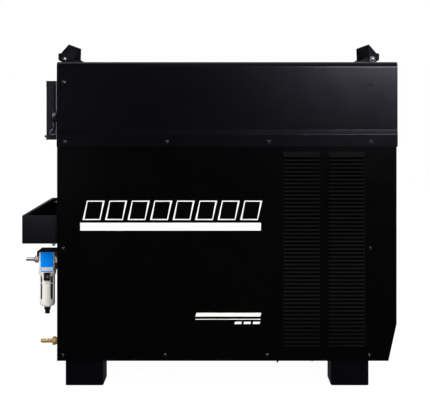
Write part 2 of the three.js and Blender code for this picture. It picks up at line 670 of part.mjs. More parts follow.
function ear(inboard, side) {
  const floor = SEAT - PIVOT_RISE;
  const top = EAR_RISE - PIVOT_RISE;
  const footStart = EAR_FOOT_X - PIVOT_X;
  const footEnd = footStart + EAR_FOOT_LENGTH;
  const outline = [
    [footStart, floor], [footEnd, floor], [footEnd, floor + EAR_FOOT_WALL],
    [EAR_FRONT, EAR_GUSSET_RISE - PIVOT_RISE], [EAR_FRONT, top - EAR_BEVEL], [EAR_FRONT - EAR_BEVEL, top],
    [EAR_BEVEL - EAR_BACK, top], [-EAR_BACK, top - EAR_BEVEL], [-EAR_BACK, floor + 2 * EAR_BEVEL],
  ].map(([u, v]) => [inboard * u, v]);
  const hole = circle(0, 0, BOLT_RADIUS + SEAT, HOLE_ROUND);
  const plate = prism('Y', outline, spanY(side, EAR_OUTER - EAR_WALL, EAR_OUTER), [hole]);
  const footPlate = box(
    [inboard * footStart, inboard * footEnd].sort((a, b) => a - b),
    spanY(side, EAR_OUTER - EAR_FOOT_WIDTH, EAR_OUTER),
    [floor, floor + EAR_FOOT_WALL],
  );
  return join(plate, footPlate);
}

// Shoulder bolt: hexagon head and washer outside the cheek, shank through cheek and ear.
function pivotBolt(side) {
  const face = HANDLE_LENGTH / 2 + SEAT;
  const washer = bar('Y', [0, 0], WASHER_RADIUS, spanY(side, face, face + WASHER));
  const head = bar('Y', [0, 0], BOLT_HEAD_RADIUS, spanY(side, face, face + WASHER + BOLT_HEAD), 6);
  const inner = EAR_OUTER - EAR_WALL - BOLT_HEAD;
  const shank = bar('Y', [0, 0], BOLT_RADIUS, spanY(side, inner, face + WASHER), SMALL_ROUND);
  return join(washer, head, shank);
}

function handleSet(end, inboard) {
  const set = new THREE.Group();
  const x = inboard > 0 ? PIVOT_X : FRONT_PIVOT_X;
  set.position.set(x, 0, ROOF_Z + PIVOT_RISE);
  set.add(part(`${end}_handle`, BLACK_COAT, handle(inboard)));
  [['near', -1], ['far', 1]].forEach(([place, side]) => {
    set.add(part(`${end}_ear_${place}`, BLACK_COAT, ear(inboard, side)));
    set.add(part(`${end}_pivot_bolt_${place}`, ZINC_PLATE, pivotBolt(side)));
  });
  return set;
}

// ---------------------------------------------------------------- rear tray

function rearTray() {
  const top = TRAY_Z + TRAY_HEIGHT;
  const shell = box([-TRAY_REACH, REAR_SEAT_X], [-TRAY_HALF, TRAY_HALF], [TRAY_Z, top]);
  const inside = box(
    [SHEET - TRAY_REACH, REAR_SEAT_X - SHEET],
    [SHEET - TRAY_HALF, TRAY_HALF - SHEET],
    [TRAY_Z + SHEET, top - SHEET],
  );
  const mouth = box(
    [TRAY_HEM - TRAY_REACH, REAR_SEAT_X - SHEET],
    [SHEET - TRAY_HALF, TRAY_HALF - SHEET],
    [top - 2 * SHEET, top + SHEET],
  );
  return cut(shell, inside, mouth);
}

// ---------------------------------------------------------------- air filter

function filterBracket() {
  const half = BRACKET_WIDTH / 2;
  const top = FILTER_TOP_Z + SEAT + BRACKET_SHEET;
  const back = REAR_SEAT_X - FILTER_X;
  const lip = -FILTER_BODY / 2 - SEAT - BRACKET_SHEET;
  const side = [
    [back, top], [lip, top], [lip, top - BRACKET_LIP], [lip + BRACKET_SHEET, top - BRACKET_LIP],
    [lip + BRACKET_SHEET, top - BRACKET_SHEET], [back - BRACKET_SHEET, top - BRACKET_SHEET],
    [back - BRACKET_SHEET, top - BRACKET_BACK], [back, top - BRACKET_BACK],
  ];
  const through = [back - 2 * BRACKET_SHEET, back + RUN];
  const hole = bar('X', [0, PORT_Z], PORT_RADIUS + 2 * RUN, through, HOLE_ROUND);
  return cut(prism('Y', side, [-half, half]), hole);
}

function filterBody() {
  const half = FILTER_BODY / 2;
  const outline = bevelled([-half, half], [-half, half], FILTER_CORNER);
  const head = prism('Z', outline, [FILTER_BODY_Z, FILTER_TOP_Z]);
  const collar = turned('Z', [
    [0, COLLAR_Z], [COLLAR_RADIUS, COLLAR_Z], [COLLAR_RADIUS, FILTER_BODY_Z + 1], [0, FILTER_BODY_Z + 1],
  ]);
  const socket = bar('X', [0, PORT_Z], PORT_RADIUS, [-2 * half, 2 * half], HOLE_ROUND);
  const recess = bar('Z', [0, 0], GUARD_RADIUS + 2 * SEAT, [COLLAR_Z - 1, COLLAR_Z + GUARD_ENTRY + SEAT]);
  return cut(join(head, collar), socket, recess);
}

// Bowl-shaped profile, closed on itself: a wall between two radii with a rounded bottom and a drain hole.
function bowl(outer, wall, bottom, top, holeRadius) {
  const bend = outer * BOWL_BEND;
  const inner = outer - wall;
  const outside = arc(outer - bend, bottom + bend, bend, -90, 0, BOWL_BEND_STEPS);
  const inside = arc(outer - bend, bottom + bend, bend - wall, 0, -90, BOWL_BEND_STEPS);
  const profile = [
    [holeRadius, bottom], ...outside, [outer, top], [inner, top], ...inside,
    [holeRadius, bottom + wall], [holeRadius, bottom],
  ];
  return turned('Z', profile, BOWL_ROUND);
}

function bowlGuard() {
  const top = COLLAR_Z + GUARD_ENTRY;
  const shell = bowl(GUARD_RADIUS, GUARD_WALL, GUARD_BOTTOM_Z, top, COCK_STEM_RADIUS + RUN);
  const slot = [GUARD_BOTTOM_Z + GUARD_RADIUS, COLLAR_Z - LATCH_HEIGHT - 2 * LATCH_TRAVEL];
  const half = GUARD_SLOT / 2;
  const pair = [-1, 1].map((sign) => {
    const ways = [sign * GUARD_SLOT, sign * GUARD_RADIUS * 2].sort((a, b) => a - b);
    return prism('X', bevelled([-half, half], slot, half * 0.6), ways);
  });
  return cut(shell, ...pair);
}

function filterBowl() {
  const outer = GUARD_RADIUS - GUARD_WALL - SEAT;
  const bottom = GUARD_BOTTOM_Z + GUARD_WALL + SEAT;
  return bowl(outer, BOWL_WALL, bottom, COLLAR_Z + GUARD_ENTRY - SEAT, COCK_STEM_RADIUS + RUN);
}

// Filter element on its stud, hung from the roof of the collar's recess.
function filterElement() {
  const top = COLLAR_Z + GUARD_ENTRY;
  const stud = ELEMENT_RADIUS / 3;
  return turned('Z', [
    [0, ELEMENT_Z], [ELEMENT_RADIUS, ELEMENT_Z], [ELEMENT_RADIUS, top - stud],
    [stud * 2, top - stud], [stud * 2, top], [0, top],
  ], SMALL_ROUND);
}

// Two-step drain cock with a stem and a seal plate inside the bowl.
function drainCock() {
  const bowlFloor = GUARD_BOTTOM_Z + GUARD_WALL + SEAT + BOWL_WALL;
  const step = (GUARD_BOTTOM_Z - RUN - COCK_BOTTOM_Z) / 2;
  return turned('Z', [
    [0, COCK_BOTTOM_Z], [COCK_TIP_RADIUS, COCK_BOTTOM_Z],
    [COCK_TIP_RADIUS, COCK_BOTTOM_Z + step], [COCK_RADIUS, COCK_BOTTOM_Z + step],
    [COCK_RADIUS, GUARD_BOTTOM_Z - RUN], [COCK_STEM_RADIUS, GUARD_BOTTOM_Z - RUN],
    [COCK_STEM_RADIUS, bowlFloor + RUN], [COCK_SEAL_RADIUS, bowlFloor + RUN],
    [COCK_SEAL_RADIUS, bowlFloor + RUN + BOWL_WALL], [0, bowlFloor + RUN + BOWL_WALL],
  ], HOLE_ROUND);
}

// Latch button that slides on the near side of the guard, below the collar.
function bowlLatch() {
  const half = LATCH_WIDTH / 2;
  const top = COLLAR_Z - SEAT;
  const [front, back] = [-GUARD_RADIUS - LATCH_THICKNESS, -GUARD_RADIUS / 2];
  const outline = bevelled([-half, half], [top - LATCH_HEIGHT, top], half / 3);
  const block = prism('Y', outline, [front, back]);
  return cut(block, bar('Z', [0, 0], GUARD_RADIUS + 2 * SEAT, [GUARD_BOTTOM_Z, top + 1]));
}

// Ridged hose barb along -X from a hexagon, with a bore along its whole length.
function hoseBarb(nutFrom, nutTo, tip, tail, nutRadius, tubeRadius, tailRadius, bore) {
  const reach = nutTo - tip;
  const ridge = reach / 4;
  const ridges = [0, 1].flatMap((i) => {
    const start = tip + (i + 1) * ridge;
    return [[tubeRadius + BARB_RIDGE, start - ridge / 3], [tubeRadius, start]];
  });
  const profile = [
    [bore, tip], [tubeRadius - BARB_TIP_STEP, tip], ...ridges,
    [tubeRadius, nutTo + 1], [tailRadius, nutTo + 1], [tailRadius, tail], [bore, tail], [bore, tip],
  ];
  const passage = circle(0, 0, bore, SMALL_ROUND);
  const hexagon = prism('X', circle(0, 0, nutRadius, 6), [nutTo, nutFrom], [passage]);
  return join(turned('X', profile, SMALL_ROUND), hexagon);
}

function airFilter() {
  const filter = new THREE.Group();
  filter.position.set(FILTER_X, FILTER_Y, 0);
  const face = -FILTER_BODY / 2;
  const portGroup = new THREE.Group();
  portGroup.position.z = PORT_Z;
  const nutOuter = face - SEAT - BARB_NUT;
  const barb = hoseBarb(
    face - SEAT, nutOuter, face - BARB_REACH, face + FITTING_ENTRY,
    BARB_NUT, PORT_RADIUS - 1, PORT_RADIUS - SEAT, OUTLET_BORE_RADIUS,
  );
  const nippleEnds = [-face - FITTING_ENTRY, REAR_INNER_X - FILTER_X + FITTING_ENTRY];
  const nipple = prism(
    'X', circle(0, 0, PORT_RADIUS - SEAT, SMALL_ROUND), nippleEnds,
    [circle(0, 0, OUTLET_BORE_RADIUS, SMALL_ROUND)],
  );
  const nippleNut = prism(
    'X', circle(0, 0, NIPPLE_NUT_RADIUS, 6), [-face + SEAT, -face + SEAT + BARB_NUT],
    [circle(0, 0, OUTLET_BORE_RADIUS, SMALL_ROUND)],
  );
  portGroup.add(part('inlet_barb', ZINC_PLATE, barb));
  portGroup.add(part('outlet_nipple', ZINC_PLATE, join(nipple, nippleNut)));
  filter.add(portGroup);
  filter.add(part('filter_bracket', BLACK_COAT, filterBracket()));
  filter.add(part('filter_body', IVORY_CAST, filterBody()));
  filter.add(part('bowl_guard', IVORY_CAST, bowlGuard()));
  filter.add(part('filter_bowl', CLEAR_PLASTIC, filterBowl()));
  filter.add(part('filter_element', WHITE_FELT, filterElement()));
  filter.add(part('drain_cock', BLACK_PLASTIC, drainCock()));
  filter.add(part('bowl_latch', BLACK_PLASTIC, bowlLatch()));
  return filter;
}

function outletBarb() {
  const shoulder = REAR_SEAT_X - OUTLET_SHOULDER;
  const barb = hoseBarb(
    shoulder, shoulder - OUTLET_SHOULDER, -OUTLET_REACH, REAR_INNER_X + SHEET / 2,
    OUTLET_NUT_RADIUS, OUTLET_TUBE_RADIUS, OUTLET_TUBE_RADIUS, OUTLET_BORE_RADIUS,
  );
  const flange = prism(
    'X', circle(0, 0, OUTLET_NUT_RADIUS * 0.8, HOLE_ROUND), [shoulder - 1, REAR_SEAT_X],
    [circle(0, 0, OUTLET_BORE_RADIUS, SMALL_ROUND)],
  );
  return moved(join(barb, flange), 0, OUTLET_Y, OUTLET_Z);
}

// ---------------------------------------------------------------- remote-control interface

function interfaceBase() {
  return box([REAR_SEAT_X - INTERFACE_BASE, REAR_SEAT_X], INTERFACE_Y, INTERFACE_Z);
}

function interfaceSeal() {
  const end = REAR_SEAT_X - INTERFACE_BASE - SEAT;
  return box([end - INTERFACE_SEAL, end], grown(INTERFACE_Y, -1), grown(INTERFACE_Z, -1));
}

// Cover with a rim at its top and bottom edges and bevelled rear corners.
function interfaceCover() {
  const start = REAR_SEAT_X - INTERFACE_BASE - 2 * SEAT - INTERFACE_SEAL;
  const [low, high] = INTERFACE_Z;
  const depth = [-INTERFACE_REACH, start];
  const outline = bevelled(depth, grown(INTERFACE_Y, -2), INTERFACE_FLANGE);
  const block = prism('Z', outline, [low + INTERFACE_FLANGE, high - INTERFACE_FLANGE]);
  const rims = [low, high - INTERFACE_FLANGE].map((z) =>
    box(depth, INTERFACE_Y, [z, z + INTERFACE_FLANGE]),
  );
  return join(block, ...rims);
}

// Round socket on a square flange, with the lug that holds the free end of the lanyard.
function controlSocket() {
  const half = SOCKET_FLANGE / 2;
  const flange = prism(
    'X', bevelled([-half, half], [-half, half], half / 4), [REAR_SEAT_X - SHEET, REAR_SEAT_X],
  );
  const barrel = bar('X', [0, 0], SOCKET_RADIUS, [REAR_SEAT_X - SOCKET_REACH, REAR_SEAT_X]);
  const tail = bar('X', [0, 0], SOCKET_RADIUS - SHEET, [REAR_SEAT_X, REAR_INNER_X + SOCKET_REACH]);
  const lug = box(
    [REAR_SEAT_X - SHEET, REAR_SEAT_X], [-LANYARD_LUG, LANYARD_LUG],
    [-LANYARD_LUG_DROP - LANYARD_LUG, -half + 1],
  );
  return moved(join(flange, barrel, tail, lug), 0, SOCKET_Y, SOCKET_Z);
}

// Dust cap over the barrel, with the groove that the lanyard's ring lies in.
function dustCap() {
  const mouth = REAR_SEAT_X - SHEET - RUN;
  const inside = REAR_SEAT_X - SOCKET_REACH - RUN;
  const grooveFront = -CAP_REACH + CAP_GROOVE + SHEET;
  const bore = SOCKET_RADIUS + RUN;
  const profile = [
    [0, -CAP_REACH], [CAP_RADIUS - 2 * CAP_CHAMFER, -CAP_REACH],
    [CAP_RADIUS - CAP_CHAMFER, -CAP_REACH + CAP_CHAMFER],
    [CAP_RADIUS - CAP_CHAMFER, -CAP_REACH + CAP_BEAD], [CAP_NECK, -CAP_REACH + CAP_BEAD],
    [CAP_NECK, grooveFront], [CAP_RADIUS, grooveFront], [CAP_RADIUS, mouth],
    [bore, mouth], [bore, inside], [0, inside],
  ];
  return turned('X', profile, HOLE_ROUND);
}

// Wire lanyard: a ring in the cap's groove, a crimp sleeve under it, and a loop back to the lug.
function capLanyard() {
  const ringX = -CAP_REACH + SHEET + CAP_GROOVE / 2;
  const width = LANYARD_RADIUS * 0.8;
  const inner = CAP_NECK + RUN;
  const outer = inner + 2 * LANYARD_RADIUS;
  const ring = turned('X', [
    [inner, ringX - width], [outer, ringX - width], [outer, ringX + width],
    [inner, ringX + width], [inner, ringX - width],
  ], BOWL_ROUND);
  const crimpTop = -outer - RUN;
  const neck = bar('Z', [ringX, 0], width, [crimpTop - width, -inner - width], SMALL_ROUND);
  const crimp = bar('Z', [ringX, 0], 2 * LANYARD_RADIUS, [crimpTop - CRIMP_LENGTH, crimpTop], SMALL_ROUND);
  const lugFace = REAR_SEAT_X - SHEET - SEAT;
  const lugZ = -LANYARD_LUG_DROP;
  const loop = LANYARD_LOOP.map(([back, down]) => [-back * LANYARD_REACH, -down * LANYARD_DROP]);
  const route = new THREE.CatmullRomCurve3([
    [ringX, crimpTop - CRIMP_LENGTH + SHEET], ...loop, [lugFace - LANYARD_LUG, lugZ - SHEET],
    [lugFace - SHEET, lugZ], [lugFace, lugZ],
  ].map(([x, z]) => new THREE.Vector3(x, 0, z)));
  const section = new THREE.Shape(
    circle(0, 0, LANYARD_RADIUS, 6).map(([u, v]) => new THREE.Vector2(u, v)),
  );
  const wire = new THREE.ExtrudeGeometry(section, {
    steps: LANYARD_STEPS, extrudePath: route, bevelEnabled: false,
  });
  return moved(join(ring, neck, crimp, solidOf(wire)), 0, SOCKET_Y, SOCKET_Z);
}

// ---------------------------------------------------------------- cooling fan

// Fan frame: a square flange on the front panel, a round duct, and a spider for the motor.
function fanShroud() {
  const half = FAN_FLANGE_HALF;
  const duct = FAN_RADIUS + FAN_TIP_GAP;
  const flange = prism(
    'X', bevelled([-half, half], [-half, half], half / 8), [FAN_DEPTH - PAN_SHEET, FAN_DEPTH],
    [circle(0, 0, duct, ROUND)],
  );
  const ring = prism(
    'X', circle(0, 0, duct + PAN_SHEET, ROUND), [0, FAN_DEPTH], [circle(0, 0, duct, ROUND)],
  );
  const arm = PAN_SHEET * 2;
  const arms = [0, 1].map((turn) => {
    const [along, across] = [[-duct - 1, duct + 1], [-arm, arm]];
    return turn ? box([0, PAN_SHEET], across, along) : box([0, PAN_SHEET], along, across);
  });
  const seat = bar('X', [0, 0], FAN_HUB_RADIUS, [0, PAN_SHEET]);
  const shaftHole = bar('X', [0, 0], SHAFT_RADIUS + RUN, [-1, PAN_SHEET + 1], SMALL_ROUND);
  return cut(join(flange, ring, ...arms, seat), shaftHole);
}

function fanMotor() {
  const can = bar('X', [0, 0], FAN_HUB_RADIUS - PAN_SHEET, [-SEAT - MOTOR_LENGTH, -SEAT]);
  const shaft = bar('X', [0, 0], SHAFT_RADIUS, [-SEAT - 1, FAN_DEPTH - 2 * PAN_SHEET], SMALL_ROUND);
  return join(can, shaft);
}

// Closed solid through a row of sections, each a list of points in the same order.
function loft(sections) {
  const count = sections[0].length;
  const faces = [];
  for (let i = 0; i + 1 < sections.length; i += 1) {
    for (let j = 0; j < count; j += 1) {
      const [a, b] = [i * count + j, i * count + ((j + 1) % count)];
      faces.push(a, b, b + count, a, b + count, a + count);
    }
  }
  const last = (sections.length - 1) * count;
  for (let j = 1; j + 1 < count; j += 1) {
    faces.push(0, j + 1, j, last, last + j, last + j + 1);
  }
  const geometry = new THREE.BufferGeometry();
  geometry.setAttribute('position', new THREE.Float32BufferAttribute(sections.flat(2), 3));
  geometry.setIndex(faces);
  return solidOf(geometry);
}

// Blade whose pitch eases off from root to tip, lofted through flat sections.
function fanBlade(turn) {
  const [root, tip] = [FAN_HUB_RADIUS - BLADE_ROOT, FAN_RADIUS - BLADE_TRIM];
  const middle = (FAN_ROTOR[0] + FAN_ROTOR[1]) / 2;
  const sections = [root, (root + tip) / 2, tip].map((radius, station) => {
    const chord = BLADE_CHORD[station];
    const angle = THREE.MathUtils.degToRad(BLADE_PITCH[station]);
    const [along, across] = [(chord / 2) * Math.sin(angle), (chord / 2) * Math.cos(angle)];
    const thick = BLADE_WALL / 2;
    return [[-1, -1], [-1, 1], [1, 1], [1, -1]].map(([end, face]) => {
      const y = end * across + face * thick * Math.sin(angle);
      const x = middle + end * along - face * thick * Math.cos(angle);
      const [c, s] = [Math.cos(turn), Math.sin(turn)];
      return [x, y * c - radius * s, y * s + radius * c];
    });
  });
  return loft(sections);
}

function fanRotor() {
  const hub = prism(
    'X', circle(0, 0, FAN_HUB_RADIUS, ROUND), FAN_ROTOR, [circle(0, 0, SHAFT_RADIUS + SEAT, SMALL_ROUND)],
  );
  const blades = Array.from({ length: FAN_BLADES }, (_, i) => fanBlade((2 * Math.PI * i) / FAN_BLADES));
  return join(hub, ...blades);
}

function fan() {
  const group = new THREE.Group();
  group.position.set(FAN_REAR_X, 0, FAN_Z);
  group.add(part('fan_shroud', BLACK_COAT, fanShroud()));
  group.add(part('fan_motor', BARE_STEEL, fanMotor()));
  group.add(part('fan_rotor', BLACK_PLASTIC, fanRotor()));
  return group;
}

// ---------------------------------------------------------------- front controls and sockets

function displayLens() {
  const [width, height] = LENS_SIZE;
  return box(
    [FRONT_SEAT_X, FRONT_SEAT_X + PAN_SHEET],
    [LENS_Y - width / 2, LENS_Y + width / 2],
    [CONTROL_Z - height / 2, CONTROL_Z + height / 2],
  );
}

// Knob with a stepped skirt, a pointer ridge and its shaft through the fascia.
function currentKnob() {
  const [base, face] = KNOB_GRIP;
  const body = turned('X', [
    [0, 0], [KNOB_RADIUS, 0], [KNOB_RADIUS, KNOB_SKIRT], [base, KNOB_SKIRT],
    [face, KNOB_DEPTH], [0, KNOB_DEPTH],
  ]);
  const ridge = box(
    [KNOB_SKIRT, KNOB_DEPTH + KNOB_RIDGE_RISE], [-KNOB_RIDGE, KNOB_RIDGE],
    [-KNOB_RIDGE, KNOB_RADIUS - KNOB_RIDGE / 2],
  );
  const shaft = bar('X', [0, 0], SHAFT_RADIUS, [-KNOB_DEPTH, 1], SMALL_ROUND);
  return moved(join(body, ridge, shaft), FRONT_OUTER_X + RUN, KNOB_Y, CONTROL_Z);
}

// Rocker of the mains switch, pivoting on its own middle.
function switchHole(through) {
  const [width, height] = SWITCH_SIZE;
  return box(
    through,
    [SWITCH_Y - width / 2 - RUN, SWITCH_Y + width / 2 + RUN],
    [SWITCH_Z - height / 2 - 2 * RUN, SWITCH_Z + height / 2 + 2 * RUN],
  );
}

function powerSwitch() {
  const [width, height] = SWITCH_SIZE;
  const half = height / 2;
  const depth = half / 2;
  const outline = [[-depth, -half], [SWITCH_LOW, -half], [SWITCH_DIP, 0], [depth, half], [-depth, half]];
  const rocker = prism('Y', outline, [-width / 2, width / 2]);
  return moved(rocker, FRONT_OUTER_X, SWITCH_Y, SWITCH_Z);
}

// Output socket: flange and barrel outside the panel, tail inside, and the plug's bore.
function outputSocket(radius, y, z) {
  const bore = radius * SOCKET_BORE;
  const rim = radius * SOCKET_RIM;
  const tail = radius * SOCKET_TAIL;
  const profile = [
    [0, -OUTPUT_REACH], [tail, -OUTPUT_REACH], [tail, 0], [rim, 0], [rim, OUTPUT_FLANGE],
    [radius, OUTPUT_FLANGE + SHEET], [radius, OUTPUT_REACH],
    [bore, OUTPUT_REACH], [bore, OUTPUT_FLANGE], [0, OUTPUT_FLANGE],
  ];
  return moved(turned('X', profile, HOLE_ROUND), FRONT_SEAT_X, y, z);
}

// ---------------------------------------------------------------- power electronics

// Laminated core: a frame with a centre limb, standing on the base pan.
function transformerCore() {
  const { x, length, half, height, limb } = CORE;
  const low = PAN_TOP_Z + SEAT;
  const windowWidth = (length - 2 * limb) / 2;
  const windowSpan = [low + limb / 2, low + height - limb / 2];
  const windows = [x + limb / 2, x + length - limb / 2 - windowWidth].map((start) => {
    const [z0, z1] = windowSpan;
    return [[start, z0], [start + windowWidth, z0], [start + windowWidth, z1], [start, z1]];
  });
  const outline = [[x, low], [x + length, low], [x + length, low + height], [x, low + height]];
  return prism('Y', outline, [-half, half], windows);
}

function transformerWinding() {
  const { x, length, half, height, limb } = CORE;
  const low = PAN_TOP_Z + SEAT + limb / 2 + RUN;
  const high = PAN_TOP_Z + SEAT + height - limb / 2 - RUN;
  const centre = x + length / 2;
  const inner = [[centre - limb / 2 - RUN, centre + limb / 2 + RUN], [-half - RUN, half + RUN]];
  const outline = bevelled(grown(inner[0], COIL_WALL), grown(inner[1], COIL_WALL), COIL_WALL / 2);
  return prism('Z', outline, [low, high], [bevelled(inner[0], inner[1], RUN / 4)]);
}

// Heat sink: fins stand on the mid deck and carry the plate.
function heatSink() {
  const { x, length, half, fins, fin, height, plate } = SINK;
  const low = DECK_Z + SEAT;
  const ends = [x, x + length];
  const slab = box(ends, [-half, half], [low + height - plate, low + height]);
  const spacing = (2 * half - fin) / (fins - 1);
  const row = Array.from({ length: fins }, (_, i) => {
    const y = -half + i * spacing;
    return box(ends, [y, y + fin], [low, low + height - plate / 2]);
  });
  return join(slab, ...row);
}

// Circuit board with its power modules below and smoothing capacitors on top.
function powerBoard() {
  const { x, length, half, height } = SINK;
  const low = DECK_Z + 2 * SEAT + height;
  const boardLow = low + MODULE_HEIGHT;
  const boardHigh = boardLow + BOARD_SHEET;
  const inside = grown([-half, half], -BOARD_EDGE);
  const board = box(grown([x, x + length], -BOARD_EDGE), inside, [boardLow, boardHigh]);
  const places = BOARD_PLACES.map((share) => x + length * share);
  const modules = places.map((middle) =>
    box([middle - MODULE_HALF, middle + MODULE_HALF], [-half / 2, half / 2], [low, boardLow + SHEET / 2]),
  );
  const capacitors = places.map((middle) => {
    const span = [boardLow + SHEET / 2, boardHigh + CAPACITOR.height];
    return bar('Z', [middle, half / 2], CAPACITOR.radius, span, SMALL_ROUND);
  });
  return join(board, ...modules, ...capacitors);
}

function contactor() {
  const { x, length, half, height, step, rise } = CONTACTOR;
  const low = DECK_Z + SEAT;
  const body = box([x, x + length], [-half, half], [low, low + height]);
  const steps = [-1, 1].map((side) =>
    box([x - 1, x + length + 1], spanY(side, half - step, half + 1), [low + rise, low + height + 1]),
  );
  return cut(body, ...steps);
}

// Gas valve on the inside of the rear panel, round the end of the filter's outlet nipple.
function gasValve() {
  const { end, half, rise, coilX, coilRadius, coilTop } = VALVE;
  const ends = [REAR_INNER_X + SEAT, end];
  const block = box(ends, grown([FILTER_Y, FILTER_Y], half), grown([PORT_Z, PORT_Z], rise));
  const coil = bar('Z', [coilX, FILTER_Y], coilRadius, [PORT_Z + rise - 1, PORT_Z + coilTop], HOLE_ROUND);
  const entry = [0, REAR_INNER_X + FITTING_ENTRY + SEAT];
  const port = bar('X', [FILTER_Y, PORT_Z], PORT_RADIUS, entry, HOLE_ROUND);
  return cut(join(block, coil), port);
}

// ---------------------------------------------------------------- assembly

const cabinet = new THREE.Group();
cabinet.position.x = -LENGTH_CENTRE_X;

cabinet.add(
  part('base_pan', BLACK_COAT, basePan()),
  part('hood', BLACK_COAT, hood()),
  part('rear_panel', BLACK_COAT, rearPanel()),
  part('front_fascia', BLACK_COAT, frontFascia()),
  part('front_lower_panel', BLACK_COAT, lowerPanel()),
  part('mid_deck', BLACK_COAT, midDeck()),
);
[['near', -1], ['far', 1]].forEach(([place, side]) => {
  cabinet.add(part(`side_panel_${place}`, BLACK_COAT, sidePanel(side)));
  cabinet.add(part(`top_rail_${place}`, BLACK_COAT, topRail(side)));
  cabinet.add(part(`foot_rear_${place}`, BLACK_COAT, foot(side, FOOT_REAR_X)));
  cabinet.add(part(`foot_front_${place}`, BLACK_COAT, foot(side, FOOT_FRONT_X)));
  cabinet.add(part(`post_rear_${place}`, BLACK_COAT, cornerPost(side, false)));
  cabinet.add(part(`post_front_${place}`, BLACK_COAT, cornerPost(side, true)));
});
cabinet.add(handleSet('rear', 1), handleSet('front', -1));
cabinet.add(part('rear_tray', BLACK_COAT, rearTray()), airFilter());
cabinet.add(
  part('outlet_barb', BRASS, outletBarb()),
  part('interface_base', BLACK_COAT, interfaceBase()),
  part('interface_seal', GREY_SEAL, interfaceSeal()),
  part('interface_cover', BLACK_COAT, interfaceCover()),
  part('control_socket', ALUMINIUM, controlSocket()),
  part('dust_cap', ALUMINIUM, moved(dustCap(), 0, SOCKET_Y, SOCKET_Z)),
  part('cap_lanyard', BARE_STEEL, capLanyard()),
);
cabinet.add(fan());
cabinet.add(
  part('display_lens', CLEAR_PLASTIC, displayLens()),
  part('current_knob', BLACK_PLASTIC, currentKnob()),
  part('power_switch', BLACK_PLASTIC, powerSwitch()),
  part('output_socket_low', BRASS, outputSocket(OUTPUT_RADIUS, OUTPUT_Y, OUTPUT_Z[0])),
  part('output_socket_high', BRASS, outputSocket(OUTPUT_RADIUS, OUTPUT_Y, OUTPUT_Z[1])),
  part('torch_socket', BRASS, outputSocket(TORCH_RADIUS, TORCH_Y, TORCH_Z)),
  part('transformer_core', BARE_STEEL, transformerCore()),
  part('transformer_winding', COPPER, transformerWinding()),
  part('heat_sink', ALUMINIUM, heatSink()),
  part('power_board', CIRCUIT_BOARD, powerBoard()),
  part('contactor', BLACK_PLASTIC, contactor()),
  part('gas_valve', BRASS, gasValve()),
);

const unit = new THREE.Group();
unit.add(cabinet);

export default unit;
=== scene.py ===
"""Looks of the plasma cutter unit: a black sheet-metal power cabinet with louvred sides.

+X is the front of the cabinet, -Y the side that carries the air filter, and +Z is up, in the frame
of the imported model. Shapes are drawn in millimetres, and piece() turns them to metres. The camera
and the studio are in metres.
"""

import json

import bmesh
import bpy
import numpy as np
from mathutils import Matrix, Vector


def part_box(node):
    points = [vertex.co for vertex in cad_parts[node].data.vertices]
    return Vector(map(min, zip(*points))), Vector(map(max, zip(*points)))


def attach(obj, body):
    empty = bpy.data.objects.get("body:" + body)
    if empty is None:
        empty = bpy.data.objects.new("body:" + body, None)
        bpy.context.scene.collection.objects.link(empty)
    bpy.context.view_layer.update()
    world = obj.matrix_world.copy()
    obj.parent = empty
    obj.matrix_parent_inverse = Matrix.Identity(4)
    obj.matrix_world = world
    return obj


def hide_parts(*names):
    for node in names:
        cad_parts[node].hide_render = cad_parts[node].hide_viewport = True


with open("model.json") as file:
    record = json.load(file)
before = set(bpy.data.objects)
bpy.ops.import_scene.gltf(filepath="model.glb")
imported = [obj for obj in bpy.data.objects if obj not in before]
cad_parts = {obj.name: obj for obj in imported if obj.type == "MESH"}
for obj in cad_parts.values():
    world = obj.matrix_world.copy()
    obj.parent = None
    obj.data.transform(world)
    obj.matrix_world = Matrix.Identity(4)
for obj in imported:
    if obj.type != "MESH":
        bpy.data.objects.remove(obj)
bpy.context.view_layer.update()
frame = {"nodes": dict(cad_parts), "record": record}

MM = 0.001


def box(node):
    """Low and high corner of a CAD node's box, in millimetres."""
    return [np.array(corner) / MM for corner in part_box(node)]


HOOD_LOW, HOOD_HIGH = box("hood")
REAR_EDGE = HOOD_LOW[0]  # hood's rear edge; places along the cabinet are measured forward from it
ROOF = HOOD_HIGH[2]
SKIRT = HOOD_HIGH[1]  # outer face of the hood skirt, from the mid plane
HOOD_STEP = 3  # how far the hood steps in above its skirt
PANEL_FACE = 282.7  # outer face of a side panel, from the mid plane
SIDES = {"near": -1, "far": 1}


def fore(ahead):
    """Place along X of a point so far in front of the hood's rear edge."""
    return REAR_EDGE + ahead


# ---------------------------------------------------------------- camera

LENS_MM, SENSOR_MM = 84.22, 36.0
SHIFT = (-0.0076, -0.2356)
VIEWPOINT = (fore(473.92) * MM, -3.2325, 0.8438)


def camera():
    """Level view square on to the near side, from 2.95 m in front of it. The photograph's vanishing
    point lies high in its frame, so the lens is shifted down by that much and the uprights stay
    parallel."""
    data = bpy.data.cameras.new("camera")
    data.sensor_width, data.lens = SENSOR_MM, LENS_MM
    data.shift_x, data.shift_y = SHIFT
    data.clip_start, data.clip_end = 0.05, 60.0
    lens = bpy.data.objects.new("camera", data)
    bpy.context.scene.collection.objects.link(lens)
    lens.location = VIEWPOINT
    lens.rotation_euler = (np.pi / 2, 0.0, 0.0)
    bpy.context.scene.camera = lens


camera()

# ---------------------------------------------------------------- materials


def linear(code):
    """sRGB hex to linear RGBA: c / 12.92 up to 0.04045, else ((c + 0.055) / 1.055) ** 2.4."""
    c = np.array([int(code[i : i + 2], 16) for i in (1, 3, 5)]) / 255
    low = c <= 0.04045
    return (*np.where(low, c / 12.92, ((c + 0.055) / 1.055) ** 2.4), 1.0)


